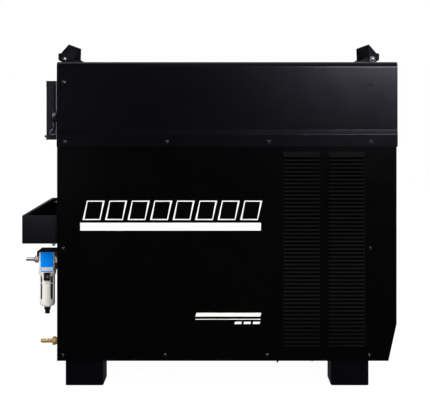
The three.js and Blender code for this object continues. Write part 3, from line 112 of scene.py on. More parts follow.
def add(tree, kind, sockets=None, **settings):
    """One node: settings are its properties, and sockets maps an input to a value or to an output."""
    made = tree.nodes.new(kind)
    for key, value in settings.items():
        setattr(made, key, value)
    for key, value in (sockets or {}).items():
        if isinstance(value, bpy.types.NodeSocket):
            tree.links.new(value, made.inputs[key])
        else:
            made.inputs[key].default_value = value
    return made


def per(mm):
    """Cells per metre of a pattern whose features are so many millimetres apart."""
    return 1000.0 / mm


def seen_rays(tree):
    """The kinds of ray, and whether a ray comes straight from the camera or through a clear part."""
    ray = add(tree, "ShaderNodeLightPath").outputs
    seen = {0: ray["Is Camera Ray"], 1: ray["Is Transmission Ray"]}
    return ray, add(tree, "ShaderNodeMath", seen, operation="MAXIMUM").outputs[0]


def blank(name, **sockets):
    """A new material with its tree, shader and Object coordinates; sockets are set on the shader."""
    made = bpy.data.materials.new(name)
    made.use_nodes = True
    tree = made.node_tree
    shader = tree.nodes["Principled BSDF"]
    for key, value in sockets.items():
        shader.inputs[key.replace("_", " ")].default_value = value
    return made, tree, shader, add(tree, "ShaderNodeTexCoord").outputs["Object"]


def finish(name, tones, clouds_mm, gloss, grain, turns=None, **sockets):
    """One finish: two tones in soft clouds, an uneven gloss, and a fine relief.

    tones are two hex colours, and clouds_mm is the size of their clouds. gloss is the lowest and the
    highest roughness and the size of its patches in mm. grain is the height of the relief and its
    spacing, in mm. turns adds ridges across an axis: axis, spacing and height in mm, strength,
    waver, and detail. A wave of scale s has a ridge every pi / (10 s) metres.
    """
    made, tree, shader, place = blank(name, **sockets)
    cloud = add(tree, "ShaderNodeTexNoise", {"Vector": place, "Scale": per(clouds_mm), "Detail": 3.0})
    shades = {0: cloud.outputs["Fac"], 6: linear(tones[0]), 7: linear(tones[1])}
    tone = add(tree, "ShaderNodeMix", shades, data_type="RGBA")
    tree.links.new(tone.outputs[2], shader.inputs["Base Color"])
    lowest, highest, patches_mm = gloss
    patch = add(tree, "ShaderNodeTexNoise", {"Vector": place, "Scale": per(patches_mm), "Detail": 3.0})
    spread = {"From Min": 0.3, "From Max": 0.7, "To Min": lowest, "To Max": highest}
    rough = add(tree, "ShaderNodeMapRange", {"Value": patch.outputs["Fac"], **spread})
    tree.links.new(rough.outputs["Result"], shader.inputs["Roughness"])
    height_mm, grain_mm = grain
    peel = add(tree, "ShaderNodeTexNoise", {"Vector": place, "Scale": per(grain_mm), "Detail": 2.0})
    rise = {"Height": peel.outputs["Fac"], "Strength": 0.6, "Distance": height_mm * MM}
    relief = add(tree, "ShaderNodeBump", rise)
    if turns:
        axis, apart_mm, ridge_mm, strength, waver, detail = turns
        shape = {"Scale": per(apart_mm) * np.pi / 10, "Distortion": waver, "Detail": detail}
        ridges = add(
            tree, "ShaderNodeTexWave", {"Vector": place, **shape}, wave_type="BANDS", bands_direction=axis
        )
        rise = {"Height": ridges.outputs["Fac"], "Strength": strength, "Distance": ridge_mm * MM}
        relief = add(tree, "ShaderNodeBump", {**rise, "Normal": relief.outputs["Normal"]})
    tree.links.new(relief.outputs["Normal"], shader.inputs["Normal"])
    return made


def powder_coat(name, tones, clouds_mm, gloss, height_mm, sheen, tint="#ece6ff"):
    """Baked polyester powder on steel: a satin black, broken up by the orange peel of the melted
    powder, about 2 mm from crest to crest. Its weak reflection has a faint violet tint."""
    sockets = {"IOR": 1.5, "Specular_IOR_Level": sheen, "Specular_Tint": linear(tint)}
    return finish(name, tones, clouds_mm, gloss, (height_mm, 2.2), **sockets)


# The hood's coat is a deep black. On the pressed panels it is a shade darker with a deeper peel. The
# tray and the interface box are a charcoal from other batches, less glossy, and the handles and
# their ears are the most matt.
COAT = powder_coat("powder_coated_steel", ("#030305", "#050508"), 160, (0.19, 0.21, 45), 0.04, 0.25)
PRESSED = powder_coat(
    "powder_coated_pressed_steel", ("#010102", "#030303"), 120, (0.16, 0.18, 30), 0.05, 0.2, "#f4f1fa"
)
FOLDED = powder_coat("powder_coated_folded_sheet", ("#0a0a0e", "#0d0d12"), 90, (0.34, 0.4, 25), 0.05, 0.25)
BOX_COAT = powder_coat(
    "powder_coated_interface_box", ("#17181d", "#1b1c21"), 90, (0.34, 0.4, 25), 0.05, 0.25
)
HANDLE = powder_coat("powder_coated_handle", ("#09090c", "#0c0c10"), 90, (0.44, 0.52, 30), 0.06, 0.1)

# Bright zinc-plated steel: a warm silver with small duller patches and a fine grain.
ZINC = finish("zinc_plated_steel", ("#b8b2af", "#a19c99"), 6, (0.2, 0.36, 3), (0.02, 0.8), Metallic=0.72)

# Black-oxide steel: dark grey with an oily sheen that picks up one small highlight on a domed head.
OXIDE = finish("black_oxide_steel", ("#3c3c42", "#47474d"), 4, (0.1, 0.16, 3), (0.01, 1.6), Metallic=0.9)

# Machined brass: a pale warm yellow, slightly tarnished. The rings from the lathe are drawn 3.14 mm
# apart, which is as fine as the render can show.
BRASS = finish(
    "machined_brass",
    ("#c9ac70", "#aa8a4e"),
    9,
    (0.2, 0.36, 4),
    (0.02, 1.2),
    turns=("X", 3.1416, 0.02, 0.25, 0.4, 1.0),
    Metallic=0.6,
)

# Turned cast aluminium: pale grey, satin, with a fine pitted skin.
ALUMINIUM = finish(
    "turned_cast_aluminium", ("#b9bbbd", "#9b9c9e"), 5, (0.3, 0.48, 3), (0.04, 0.9), Metallic=1.0
)

# Bare drawn steel: light grey and satin, finely scuffed.
WIRE = finish("drawn_steel", ("#cfd1d4", "#b4b6b9"), 8, (0.28, 0.4, 2), (0.02, 0.6), Metallic=1.0)

# Enamelled die-cast zinc: warm ivory, smooth, with a soft gloss and a faint casting ripple.
IVORY = finish("ivory_enamelled_casting", ("#fbf6ef", "#f3ede5"), 25, (0.3, 0.42, 12), (0.05, 5.0), IOR=1.5)

# Moulded black nylon: neutral black, matt, with a spark-eroded grain of 0.6 mm.
NYLON = finish("moulded_black_nylon", ("#0d0d0e", "#161617"), 20, (0.42, 0.56, 8), (0.05, 0.6), IOR=1.5)

# Moulded polycarbonate: clear with a grey-blue body, a slight flow ripple, and a thin oil film that
# dulls it in patches.
CLEAR = finish(
    "clear_polycarbonate",
    ("#aab4bf", "#9aa6b4"),
    18,
    (0.04, 0.16, 9),
    (0.05, 7.0),
    IOR=1.58,
    Transmission_Weight=0.9,
)

# Sintered felt: off-white, matt, with a coarse fibre about 0.8 mm across.
FELT = finish("filter_felt", ("#efede6", "#dcd9cf"), 2, (0.85, 0.95, 3), (0.2, 0.8), IOR=1.45)

# Printed film on the filter's front: saturated blue under a laminate with little gloss.
BLUE = finish(
    "blue_printed_film",
    ("#0090ff", "#0086fb"),
    40,
    (0.4, 0.46, 10),
    (0.01, 3.0),
    IOR=1.5,
    Specular_IOR_Level=0.03,
)

# Screen-printed white ink: opaque off-white, slightly matt, with the mesh's faint mottle at 0.7 mm.
INK = finish("screen_printed_white_ink", ("#dededc", "#d6d6d4"), 6, (0.45, 0.6, 5), (0.01, 0.7), IOR=1.48)

# Closed-cell sponge seal: mid grey, matt, with cells of about 1 mm.
SPONGE = finish("grey_sponge_rubber", ("#7c7e82", "#6b6d71"), 3, (0.8, 0.95, 3), (0.25, 1.0), IOR=1.45)

# Smoked acrylic window: almost black and polished, with a faint wave in its face.
LENS = finish(
    "smoked_acrylic", ("#08090b", "#0e0f12"), 30, (0.05, 0.1, 20), (0.01, 12.0), IOR=1.49, Coat_Weight=0.6
)

# Enamelled copper winding: red-brown and glossy, in layers 18.85 mm apart along Z.
COPPER = finish(
    "enamelled_copper_wire",
    ("#a8562c", "#8a3f1e"),
    12,
    (0.25, 0.4, 6),
    (0.02, 1.5),
    turns=("Z", 18.8496, 0.8, 0.9, 0.2, 2.0),
    Metallic=0.8,
)

# Solder-masked board with moulded parts: dark green, semi-gloss, with fine track relief.
BOARD = finish("solder_masked_board", ("#1d5a36", "#12391f"), 7, (0.3, 0.5, 5), (0.1, 2.0), IOR=1.5)

FINISH_OF_SLOT = {
    "coat": COAT,
    "zinc": ZINC,
    "ivory": IVORY,
    "clear_plastic": CLEAR,
    "felt": FELT,
    "black_plastic": NYLON,
    "brass": BRASS,
    "grey_seal": SPONGE,
    "cast_aluminium": ALUMINIUM,
    "steel_wire": WIRE,
    "lens": LENS,
    "copper": COPPER,
    "board": BOARD,
}
OWN_FINISH = {"side_panel_near": PRESSED, "side_panel_far": PRESSED, "interface_cover": BOX_COAT}


def dress_solids():
    """Every carried-over solid takes the finish of its slot, or its own where it has one."""
    for row in frame["record"]["subparts"]:
        solid = frame["nodes"][row["node"]]
        solid.data.materials.clear()
        solid.data.materials.append(OWN_FINISH.get(row["node"], FINISH_OF_SLOT[row["material_slot"]]))


dress_solids()

# ---------------------------------------------------------------- surfaces


def grid_faces(rows, columns, around=False):
    """Quads of a grid of rows by columns points; around joins the last column to the first."""
    i, j = np.meshgrid(np.arange(rows - 1), np.arange(columns if around else columns - 1), indexing="ij")
    k = (j + 1) % columns
    quads = [i * columns + j, i * columns + k, (i + 1) * columns + k, (i + 1) * columns + j]
    return np.stack(quads, axis=-1).reshape(-1, 4)


def piece(name, shells, finish_of, body="cabinet", stands_for=(), sharp=35, bevel=0.0, steps=2):
    """One closed mesh from shells, each (points, faces): put in metres, with its doubles merged and its
    normals turned out.

    Edges sharper than sharp degrees stay crisp; bevel rounds them with a live Bevel.
    """
    points, faces, count = [], [], 0
    for shell_points, shell_faces in shells:
        points.append(np.asarray(shell_points, float).reshape(-1, 3))
        faces += [[int(v) + count for v in face] for face in shell_faces]
        count += len(points[-1])
    mesh = bpy.data.meshes.new(name)
    mesh.from_pydata(np.concatenate(points) * MM, [], faces)
    tidy = bmesh.new()
    tidy.from_mesh(mesh)
    bmesh.ops.remove_doubles(tidy, verts=tidy.verts, dist=2e-6)
    bmesh.ops.recalc_face_normals(tidy, faces=tidy.faces)
    tidy.to_mesh(mesh)
    tidy.free()
    mesh.materials.append(finish_of)
    mesh.shade_smooth()
    mesh.set_sharp_from_angle(angle=np.radians(sharp))
    made = bpy.data.objects.new(name, mesh)
    bpy.context.scene.collection.objects.link(made)
    if bevel:
        edge = made.modifiers.new("edge", "BEVEL")
        edge.width = bevel * MM
        edge.segments = steps
        edge.limit_method = "ANGLE"
        edge.angle_limit = np.radians(sharp)
        edge.harden_normals = True
    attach(made, body)
    if stands_for:
        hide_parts(*stands_for)
    return made


AXES = {"X": (1, 2, 0), "Y": (0, 2, 1), "Z": (0, 1, 2)}


def set_out(axis, across, up, along):
    """Points from their places across, up and along an axis: along X across is Y and up is Z."""
    points = np.empty(np.broadcast(across, up, along).shape + (3,))
    for place, values in zip(AXES[axis], (across, up, along)):
        points[..., place] = values
    return points


def about(middle, half):
    """The two ends of a span, half to each side of its middle."""
    return middle - half, middle + half


def within(inset, *spans):
    """Each span, drawn in by an inset at both ends; a negative inset widens it."""
    return [(low + inset, high - inset) for low, high in spans]


def outwards(side, *places):
    """Places from the mid plane on one side, as a rising span."""
    return sorted(side * place for place in places)


def oblong(u, v):
    """Corners of a rectangle over two spans, from its low corner round."""
    return [(u[0], v[0]), (u[1], v[0]), (u[1], v[1]), (u[0], v[1])]


def slab(axis, outline, ends):
    """An outline carried straight along an axis, with a flat cap at each end."""
    outline = np.asarray(outline, float)
    count = len(outline)
    points = set_out(axis, outline[None, :, 0], outline[None, :, 1], np.array(ends, float)[:, None])
    caps = [list(range(count)), list(range(2 * count - 1, count - 1, -1))]
    return points, [*grid_faces(2, count, around=True), *caps]


def round_turn(steps):
    """Angles of so many even steps round a full turn."""
    return 2 * np.pi * np.arange(steps) / steps


def turned(axis, centre, radius, along):
    """Surface round an axis: point (i, j) is centre + r_ij (cos t_j, sin t_j) across and up, and a_i
    along, with t_j = 2 pi j / steps."""
    turn = round_turn(radius.shape[1])
    across, up = centre[0] + radius * np.cos(turn), centre[1] + radius * np.sin(turn)
    return set_out(axis, across, up, along), grid_faces(*radius.shape, around=True)


def lathe(axis, centre, profile, steps=48):
    """Solid of revolution: each row of the profile is a radius and a place along the axis."""
    profile = np.asarray(profile, float)
    return turned(axis, centre, np.repeat(profile[:, :1], steps, axis=1), profile[:, 1:])


def fluted(axis, centre, rows, steps, lobes, depth, start=0.0):
    """Solid of revolution with a fluted grip, its radius r (1 - depth k (1 - cos(lobes t))) round the
    turn t. Each row is r, a place from start, and k, which is 1 on the grip's rows and else 0."""
    r, along, k = np.hsplit(np.array(rows, float), 3)
    radius = r * (1 - depth * k * (1 - np.cos(lobes * round_turn(steps))))
    return turned(axis, centre, radius, start + along)


def rows_from(start, rows):
    """Profile rows, each a radius and a place along the axis, with the places counted from start."""
    return np.array(rows, float) + (0, start)


def arc(centre, radius, start, end, steps):
    """Points of an arc: centre + radius (cos t, sin t), t from start to end in degrees."""
    t = np.radians(np.linspace(start, end, steps + 1))
    return np.stack([centre[0] + radius * np.cos(t), centre[1] + radius * np.sin(t)], axis=1)


def polygon(centre, radius, corners, turn=0.0):
    """Corners of a regular polygon."""
    return arc(centre, radius, turn, turn + 360, corners)[:-1]


def rounded(span_u, span_v, radius, steps=5):
    """Rectangle with round corners: an arc of 90 degrees about each inner corner, in turn."""
    (u0, u1), (v0, v1) = within(radius, span_u, span_v)
    centres = [(u1, v1), (u0, v1), (u0, v0), (u1, v0)]
    return np.concatenate([arc(c, radius, 90 * i, 90 * i + 90, steps) for i, c in enumerate(centres)])


def headings(route):
    """Unit direction of a route at each of its points."""
    way = np.gradient(route, axis=0)
    return way / np.linalg.norm(way, axis=1, keepdims=True)


def tube(route, radius, around=10):
    """Round bar along a route in an upright plane y = constant.

    Point (i, j) is p_i + radius (cos t_j n_i + sin t_j Y), where n_i is the route's normal in its
    plane; both ends close to a point.
    """
    way = headings(route)
    normal = np.stack([-way[:, 2], 0 * way[:, 0], way[:, 0]], axis=1)
    t = round_turn(around)[None, :, None]
    ring = np.cos(t) * normal[:, None, :] + np.sin(t) * np.array([0.0, 1.0, 0.0])
    middle = route[:, None, :]
    ends = [np.repeat(end, around, axis=1) for end in (middle[:1], middle[-1:])]
    points = np.concatenate([ends[0], middle + radius * ring, ends[1]])
    return points, grid_faces(len(points), around, around=True)


def smooth_way(knots, count):
    """Catmull-Rom curve through the knots, ends doubled, as count points."""
    knots = np.asarray(knots, float)
    knots = np.concatenate([2 * knots[:1] - knots[1:2], knots, 2 * knots[-1:] - knots[-2:-1]])
    place = np.linspace(0, len(knots) - 3 - 1e-9, count)
    i = place.astype(int)
    t = (place - i)[:, None]
    a, b, c, d = knots[i], knots[i + 1], knots[i + 2], knots[i + 3]
    return 0.5 * (2 * b + (c - a) * t + (2 * a - 5 * b + 4 * c - d) * t**2 + (3 * b - a - 3 * c + d) * t**3)


def eased(outline, radii, steps=4):
    """Polygon with rounded corners: between points a radius before and after each corner p runs the
    curve (1 - t)^2 a + 2 t (1 - t) p + t^2 b. radii is one length, or one for each corner."""
    p = np.asarray(outline, float)
    radii = np.broadcast_to(np.asarray(radii, float), len(p))[:, None]

    def towards(q):
        reach = np.linalg.norm(q - p, axis=1, keepdims=True)
        return p + (q - p) * np.minimum(radii / reach, 0.49)

    a, b = towards(np.roll(p, 1, axis=0)), towards(np.roll(p, -1, axis=0))
    t = np.linspace(0, 1, steps + 1)[None, :, None]
    curve = (1 - t) ** 2 * a[:, None] + 2 * t * (1 - t) * p[:, None] + t**2 * b[:, None]
    return curve.reshape(-1, 2)


# ---------------------------------------------------------------- hood


def hood_shell():
    """Folded hood: a 2 mm strip along the path skirt, joggle, bend, roof, and back down.

    The joggle is a straight slope 13 mm high between two tight knees, with rows of points along it
    that keep it flat. The roof bends are arcs of 16 mm, and the inner face is the outer one moved
    2 mm along its normal.
    """
    joggle, rise, bend, sheet = 739, 13, 16, 2
    lead, knee, clear = 3, 0.4, 1.2  # a knee's straight run, its ease, and its distance from the walls' rows
    upper = SKIRT - HOOD_STEP
    foot, head = np.array([SKIRT, joggle]), np.array([upper, joggle + rise])
    knees = eased([foot - (0, lead), foot, head, head + (0, lead)], [0, knee, knee, 0], 3)[4:-4]
    slope = foot + (head - foot) * [[0.1], [0.5], [0.9]]
    skirt = np.column_stack([np.full(4, SKIRT), np.linspace(HOOD_LOW[2], joggle - clear, 4)])
    wall = np.column_stack([np.full(4, upper), np.linspace(joggle + rise + clear, ROOF - bend - 1, 4)])
    corner = arc((upper - bend, ROOF - bend), bend, 0, 90, 12)
    half = np.concatenate([skirt, knees[:4], slope, knees[4:], wall, corner, [(upper - bend - 1, ROOF)]])
    outer = np.concatenate([half * (-1, 1), half[::-1]])
    inner = outer + sheet * headings(outer)[:, ::-1] * (1, -1)
    section = np.concatenate([outer, inner[::-1]])
    count = len(section)
    ends = np.array([[HOOD_LOW[0]], [HOOD_HIGH[0]]])
    points = set_out("X", section[None, :, 0], section[None, :, 1], ends)
    i = np.arange(len(outer) - 1)
    strip = np.stack([i, i + 1, count - 2 - i, count - 1 - i], axis=1)
    faces = [*grid_faces(2, count, around=True), *strip, *(strip[:, ::-1] + count)]
    piece("hood_shell", [(points, faces)], COAT, stands_for=["hood"], sharp=30, bevel=0.35)


hood_shell()

# ---------------------------------------------------------------- screws


def screw(centre, axis, out, radius=4.6, height=2.6):
    """Pan-head screw with a round recess, as one shell: a dome r cos a, h sin a, then a mouth of
    0.42 r that goes down to a quarter of the height. out is +1 or -1 along the axis."""
    a = np.radians([25, 50, 68])
    dome = np.column_stack([radius * np.cos(a), height * np.sin(a)])
    mouth, floor = radius * 0.42, height * 0.25
    profile = [(0, 0), (radius, 0), *dome, (mouth, height), (mouth, floor), (0, floor)]
    across, up, along = AXES[axis]
    profile = np.array(profile) * (1, out) + (0, centre[along])
    return lathe(axis, (centre[across], centre[up]), profile, steps=12)


# Places of the screws on each side, forward and up.
SKIRT_SCREWS = [(24, 717), (323, 717), (623, 717), (923, 717)]
UPPER_SCREWS = [(21, 891), (921, 888)]
PANEL_SCREWS = [(19, 405), (920, 405), (18, 92), (318, 92), (617, 92), (917, 92)]
END_ROWS = (-262, 262)  # upright rows of screws in the rear panel and the front, across
REAR_HEIGHTS = (97, 360, 620, 915)
FRONT_HEIGHTS = (97, 400, 440, 915)


def cabinet_screws():
    """Black pan-head screws of the hood skirts, the hood's upper corners, the side panels, the rear
    panel and the front panels, and zinc ones inside the tray."""
    for place, side in SIDES.items():
        rows = [
            (SKIRT_SCREWS, SKIRT, 6.6),
            (UPPER_SCREWS, SKIRT - HOOD_STEP, 6.8),
            (PANEL_SCREWS, PANEL_FACE, 5.6),
        ]
        shells = [
            screw((fore(s), side * face, z), "Y", side, radius)
            for row, face, radius in rows
            for s, z in row
        ]
        piece(f"side_screws_{place}", shells, OXIDE, sharp=40)
    rear, front = box("rear_panel")[0][0], box("front_fascia")[1][0]
    for name, x, out, heights in (
        ("rear_screws", rear, -1, REAR_HEIGHTS),
        ("front_screws", front, 1, FRONT_HEIGHTS),
    ):
        heads = [screw((x, y, z), "X", out) for y in END_ROWS for z in heights]
        piece(name, heads, OXIDE, sharp=40)
    low, high = box("rear_tray")
    wall = 2
    row_z, seat_z = high[2] - 15, 458
    heads = [screw((low[0] + s, high[1] - wall, row_z), "Y", -1, 4.4) for s in (7, 17)]
    heads += [screw((high[0] - wall, y, seat_z), "X", -1, 6, 4) for y in (-200, 0, 200)]
    piece("tray_screws", heads, ZINC, sharp=40)


cabinet_screws()

# ---------------------------------------------------------------- printed stripes


def ink_film(outline, side):
    """Thin film of ink on a side panel: an outline (forward, height) carried outwards by 0.12 mm.

    Seen from either side the outline reads the same way along the cabinet."""
    ends = outwards(side, PANEL_FACE, PANEL_FACE + 0.12)
    return slab("Y", np.asarray(outline, float) + (REAR_EDGE, 0), ends)


def slanted(start, width, low, high, lean):
    """Parallelogram (forward, height) whose top is moved forward by lean."""
    return [(start, low), (start + width, low), (start + width + lean, high), (start + lean, high)]


def hollow(start, width, low, high, lean, line):
    """Four bars that outline a slanted block, mitred at the corners. The lines at its ends are 1.25
    times as wide as those along it."""
    out = np.array(slanted(start, width, low, high, lean), float)
    end = 1.25 * line
    inn = np.array(slanted(start + end, width - 2 * end, low + line, high - line, 0.72 * lean), float)
    inn[:, 0] += 0.14 * lean
    return [[out[i - 1], out[i], inn[i], inn[i - 1]] for i in (1, 2, 3, 0)]


def panel_stripes():
    """White screen print on both side panels: a row of hollow slanted blocks, a long bar below it,
    and a short row low down. The print is plain stripes and says nothing."""
    blocks = [hollow(76 + 66 * i, 52, 488, 545, 13, 3.1) for i in range(8)]
    outlines = [bar for block in blocks for bar in block]
    outlines += [oblong((69, 599), (457, 480))]
    outlines += [slanted(407, 190, 205, 216, 3), oblong((407, 598), (196, 198))]
    outlines += [slanted(521 + 27 * i, 20, 183, 190, 2) for i in range(3)]
    for place, side in SIDES.items():
        shells = [ink_film(outline, side) for outline in outlines]
        piece(f"panel_stripes_{place}", shells, INK, sharp=30)


panel_stripes()

# ---------------------------------------------------------------- lifting handles

PIVOT_Z = ROOF + 14
CHEEK_FACE = 137.5  # outer face of a cheek, from the mid plane
PLATE = 4
EAR_FACE = 132.9
EAR_WALL = 6
PIVOTS = {"rear": (fore(3), 1), "front": (fore(948), -1)}  # place along X, and which way is inboard


def from_pivot(end, outline):
    """Outline drawn from a pivot, u inboard and v up, to places along X and Z."""
    x, inboard = PIVOTS[end]
    return np.asarray(outline, float) * (inboard, 1) + (x, PIVOT_Z)


def lifting_handle(end):
    """Folded handle: a web that leans 70 degrees inboard, and a cheek at each end round the pivot.

    Everything is drawn from the pivot as slabs along Y with eased corners. Below the ears' reach the
    web stops short of them; above it the web runs out to the cheeks.
    """
    ridge, shoulder, split, bottom = (12.0, 46.0), 39.6, 31.0, 8.0
    lean = np.radians(70)
    wall = PLATE / np.sin(lean)

    def on_web(v, back=0.0):
        return ridge[0] - (ridge[1] - v) / np.tan(lean) - back, v

    top = [ridge, on_web(split), on_web(split, wall), on_web(shoulder, wall)]
    low = [on_web(split), on_web(bottom), on_web(bottom, wall), on_web(split, wall)]
    cheek = [ridge, (-12.7, 18.0), *arc((0, 0), 10.5, 180, 360, 14)]
    reach, short = CHEEK_FACE - PLATE, EAR_FACE - EAR_WALL - 0.6
    shells = [
        slab("Y", from_pivot(end, eased(top, [2.4, 0, 0, 2.0])), (-reach, reach)),
        slab("Y", from_pivot(end, eased(low, [0, 0.8, 0.8, 0])), (-short, short)),
    ]
    plate = from_pivot(end, eased(cheek, [3.0, 3.0, *[0.0] * 15]))
    shells += [slab("Y", plate, outwards(side, reach, CHEEK_FACE)) for side in (-1, 1)]
    body = f"{end}_handle"
    piece(f"lifting_handle_{end}", shells, HANDLE, body, [body], sharp=30, bevel=0.5)


def handle_ear(end, name, side):
    """Ear inside a cheek: a plate that overhangs the hood's edge, its gusset, and a foot with two
    screws on the roof, with eased corners."""
    x, inboard = PIVOTS[end]
    floor = ROOF + 0.3
    roof_plate = floor + 4
    plate = [(-1, -13.7), (41, -13.7), (41, -9.7), (8, 8), (8, 18), (-22, 18), (-22, -3.7)]
    upright = from_pivot(end, eased(plate, [0, 1, 1, 5, 5, 5, 5]))
    foot_x = sorted([x - inboard, x + inboard * 41])
    foot_y = outwards(side, EAR_FACE - 32, EAR_FACE)
    shells = [
        slab("Y", upright, outwards(side, EAR_FACE - EAR_WALL, EAR_FACE)),
        slab("Z", eased(oblong(foot_x, foot_y), 3), (floor, roof_plate)),
    ]
    node = f"{end}_ear_{name}"
    piece(f"handle_{node}", shells, HANDLE, stands_for=[node], sharp=30, bevel=0.5)
    places = [(x + inboard * u, side * (EAR_FACE - 20), roof_plate) for u in (9, 31)]
    heads = [screw(place, "Z", 1, 5, 3) for place in places]
    piece(f"ear_screws_{end}_{name}", heads, OXIDE, sharp=40)


def pivot_bolt(end, name, side):
    """Shoulder bolt: a blackened hexagon head 14 mm across its corners on a 20 mm washer, with a
    bright turned face. Profiles are (radius, out from the cheek)."""
    centre = (PIVOTS[end][0], PIVOT_Z)
    face = CHEEK_FACE + 0.3
    washer = [(0, 0), (9.4, 0), (10, 0.5), (10, 1.5), (9.4, 2), (0, 2)]
    shank = [(0, -18), (4.6, -18), (5, -17.5), (5, 0.5), (0, 0.5)]
    dome = [(0, 5.6), (4.4, 5.6), (4.4, 6.2), (3.9, 7.0), (2.8, 7.6), (1.4, 7.9), (0, 8)]

    def on_cheek(rows, steps):
        return lathe("Y", centre, np.array(rows) * (1, side) + (0, side * face), steps)

    hexagon = slab("Y", polygon(centre, 7, 6, 30), outwards(side, face + 1.8, face + 6))
    shells = [on_cheek(washer, 36), on_cheek(shank, 20), hexagon]
    node = f"{end}_pivot_bolt_{name}"
    piece(f"handle_{node}", shells, OXIDE, stands_for=[node], sharp=30)
    piece(f"bolt_face_{end}_{name}", [on_cheek(dome, 24)], ZINC, sharp=60)


for end in PIVOTS:
    lifting_handle(end)
    for name, side in SIDES.items():
        handle_ear(end, name, side)
        pivot_bolt(end, name, side)

# ---------------------------------------------------------------- air filter

FILTER_X, FILTER_Y = fore(-57), -105
AXIS = (FILTER_X, FILTER_Y)
HEAD_X = fore(-55.2)  # middle of the head, a little forward of the bowl's axis
HEAD_HALF = (24, 30)  # half the head's size along X and Y
HEAD_FRONT = FILTER_Y - HEAD_HALF[1]
HEAD_LOW, HEAD_TOP = 310.5, 372.7
PORT_Z = 345


def filter_head():
    """Ivory head: a rounded box over a narrower waist, a grooved collar round its neck, and a round
    boss right through it for the ports."""
    x, y = about(HEAD_X, HEAD_HALF[0]), about(FILTER_Y, HEAD_HALF[1])
    waist = rounded(*within(1.2, x, y), 6)
    collar = [(25.5, 300.4), (26.6, 300), (27, 301), (27, 304), (26.2, 305), (27, 306), (27, 313)]
    collar += [(24.3, 313), (24.3, 308.5), (24.1, 300.4), (25.5, 300.4)]
    boss = [(0, -24.6), (12.5, -24.6), (12.5, 30.0), (0, 30.0)]
    shells = [
        slab("Z", rounded(x, y, 7), (HEAD_LOW, HEAD_TOP)),
        slab("Z", waist, (HEAD_LOW - 2, HEAD_LOW + 0.5)),
        lathe("Z", AXIS, collar, 48),
        lathe("X", (FILTER_Y, PORT_Z), rows_from(HEAD_X, boss), 32),
    ]
    piece("filter_head", shells, IVORY, stands_for=["filter_body"], sharp=30, bevel=1.1, steps=3)


def filter_label():
    """Blue film on the head's front, with a plain white strip near its foot."""
    left, right = FILTER_X - 16.5, FILTER_X + 23
    film = rounded((left, right), (HEAD_LOW + 0.3, HEAD_TOP - 1.2), 1, 3)
    strip = rounded((left + 2, right - 1.5), (HEAD_LOW + 3.5, HEAD_LOW + 14.5), 0.5, 2)
    for name, outline, finish_of, proud, sunk in (
        ("filter_label", film, BLUE, 0.35, -0.2),
        ("filter_label_strip", strip, INK, 0.5, 0.3),
    ):
        ends = (HEAD_FRONT - proud, HEAD_FRONT - sunk)
        piece(name, [slab("Y", outline, ends)], finish_of, sharp=30)


BOWL_BEND = 10.5
GUARD_RADIUS, GUARD_LOW = 23.5, 200
DRAIN_HOLE = 5.6
SLOT_AT = 46  # middle of a sight slot, in degrees from the filter's front
SLOT_SPAN = (223, 296)
SLOT_WIDE_SPAN = (225, 294)
SLOT_HALVES = (5.4, 3.8)  # half its width over the wide span, and at its ends


def bowl_guard():
    """Ivory guard: a surface of revolution over the bowl's outer profile, with the faces of two sight
    slots left out either side of its front, and a wall from Solidify. A rib and a foot go round it."""
    start = GUARD_LOW + BOWL_BEND
    heights = [np.linspace(start, 222, 5), np.linspace(223, 270, 13), np.linspace(271, 308, 9)]
    wall = [(GUARD_RADIUS, z) for z in np.concatenate(heights)]
    bend = arc((GUARD_RADIUS - BOWL_BEND, start), BOWL_BEND, -90, 0, 8)
    points, faces = lathe("Z", AXIS, [(DRAIN_HOLE, GUARD_LOW), *bend[:-1], *wall], 96)
    middle = points.reshape(-1, 3)[faces].mean(axis=1)
    level = middle[:, 2]
    angle = np.degrees(np.arctan2(middle[:, 0] - FILTER_X, FILTER_Y - middle[:, 1]))
    across = np.radians(np.abs(np.abs(angle) - SLOT_AT)) * GUARD_RADIUS
    slot, wide = ((level > low) & (level < high) for low, high in (SLOT_SPAN, SLOT_WIDE_SPAN))
    slot &= across < np.where(wide, *SLOT_HALVES)
    guard = (points, faces[~slot])
    made = piece("filter_bowl_guard", [guard], IVORY, stands_for=["bowl_guard"])
    wall = made.modifiers.new("wall", "SOLIDIFY")
    wall.thickness = 1.5 * MM
    wall.offset = -1.0
    rib = [(23.4, 272), (24.3, 272.6), (24.3, 274.4), (23.4, 275), (23.4, 272)]
    foot = [(12.5, 199.9), (13.2, 199.5), (20, 203.2), (19.5, 204), (12.5, 200.6), (12.5, 199.9)]
    bands = [lathe("Z", AXIS, rows) for rows in (rib, foot)]
    piece("filter_guard_bands", bands, IVORY)


def filter_bowl():
    """Clear bowl inside the guard, as one closed lathe: down the outside round the bottom bend to the
    drain hole, and back up the inside, 2 mm in."""
    radius, wall, bottom, top = 21.7, 2.0, 201.8, 307.7
    bend, centre = BOWL_BEND, (radius - BOWL_BEND, bottom + BOWL_BEND)
    outside, inside = arc(centre, bend, -90, 0, 8), arc(centre, bend - wall, 0, -90, 8)
    rows = [(DRAIN_HOLE, bottom), *outside, (radius, top), (radius - wall, top), *inside]
    bowl = lathe("Z", AXIS, [*rows, (DRAIN_HOLE, bottom + wall)])
    piece("clear_filter_bowl", [bowl], CLEAR, stands_for=["filter_bowl"])


def filter_element():
    """Pleated felt element: radius 10.4 + 0.6 cos 24 t round the turn t, with a stud on top 0.45
    times as wide."""
    share = np.array([0.0, 1.0, 1.0, 0.45, 0.45, 0.0])[:, None]
    height = np.array([240.0, 240.0, 304.3, 304.3, 308.0, 308.0])[:, None]
    radius = share * (10.4 + 0.6 * np.cos(24 * round_turn(96)))
    shell = turned("Z", AXIS, radius, height)
    piece("pleated_filter_element", [shell], FELT, stands_for=["filter_element"], sharp=60)


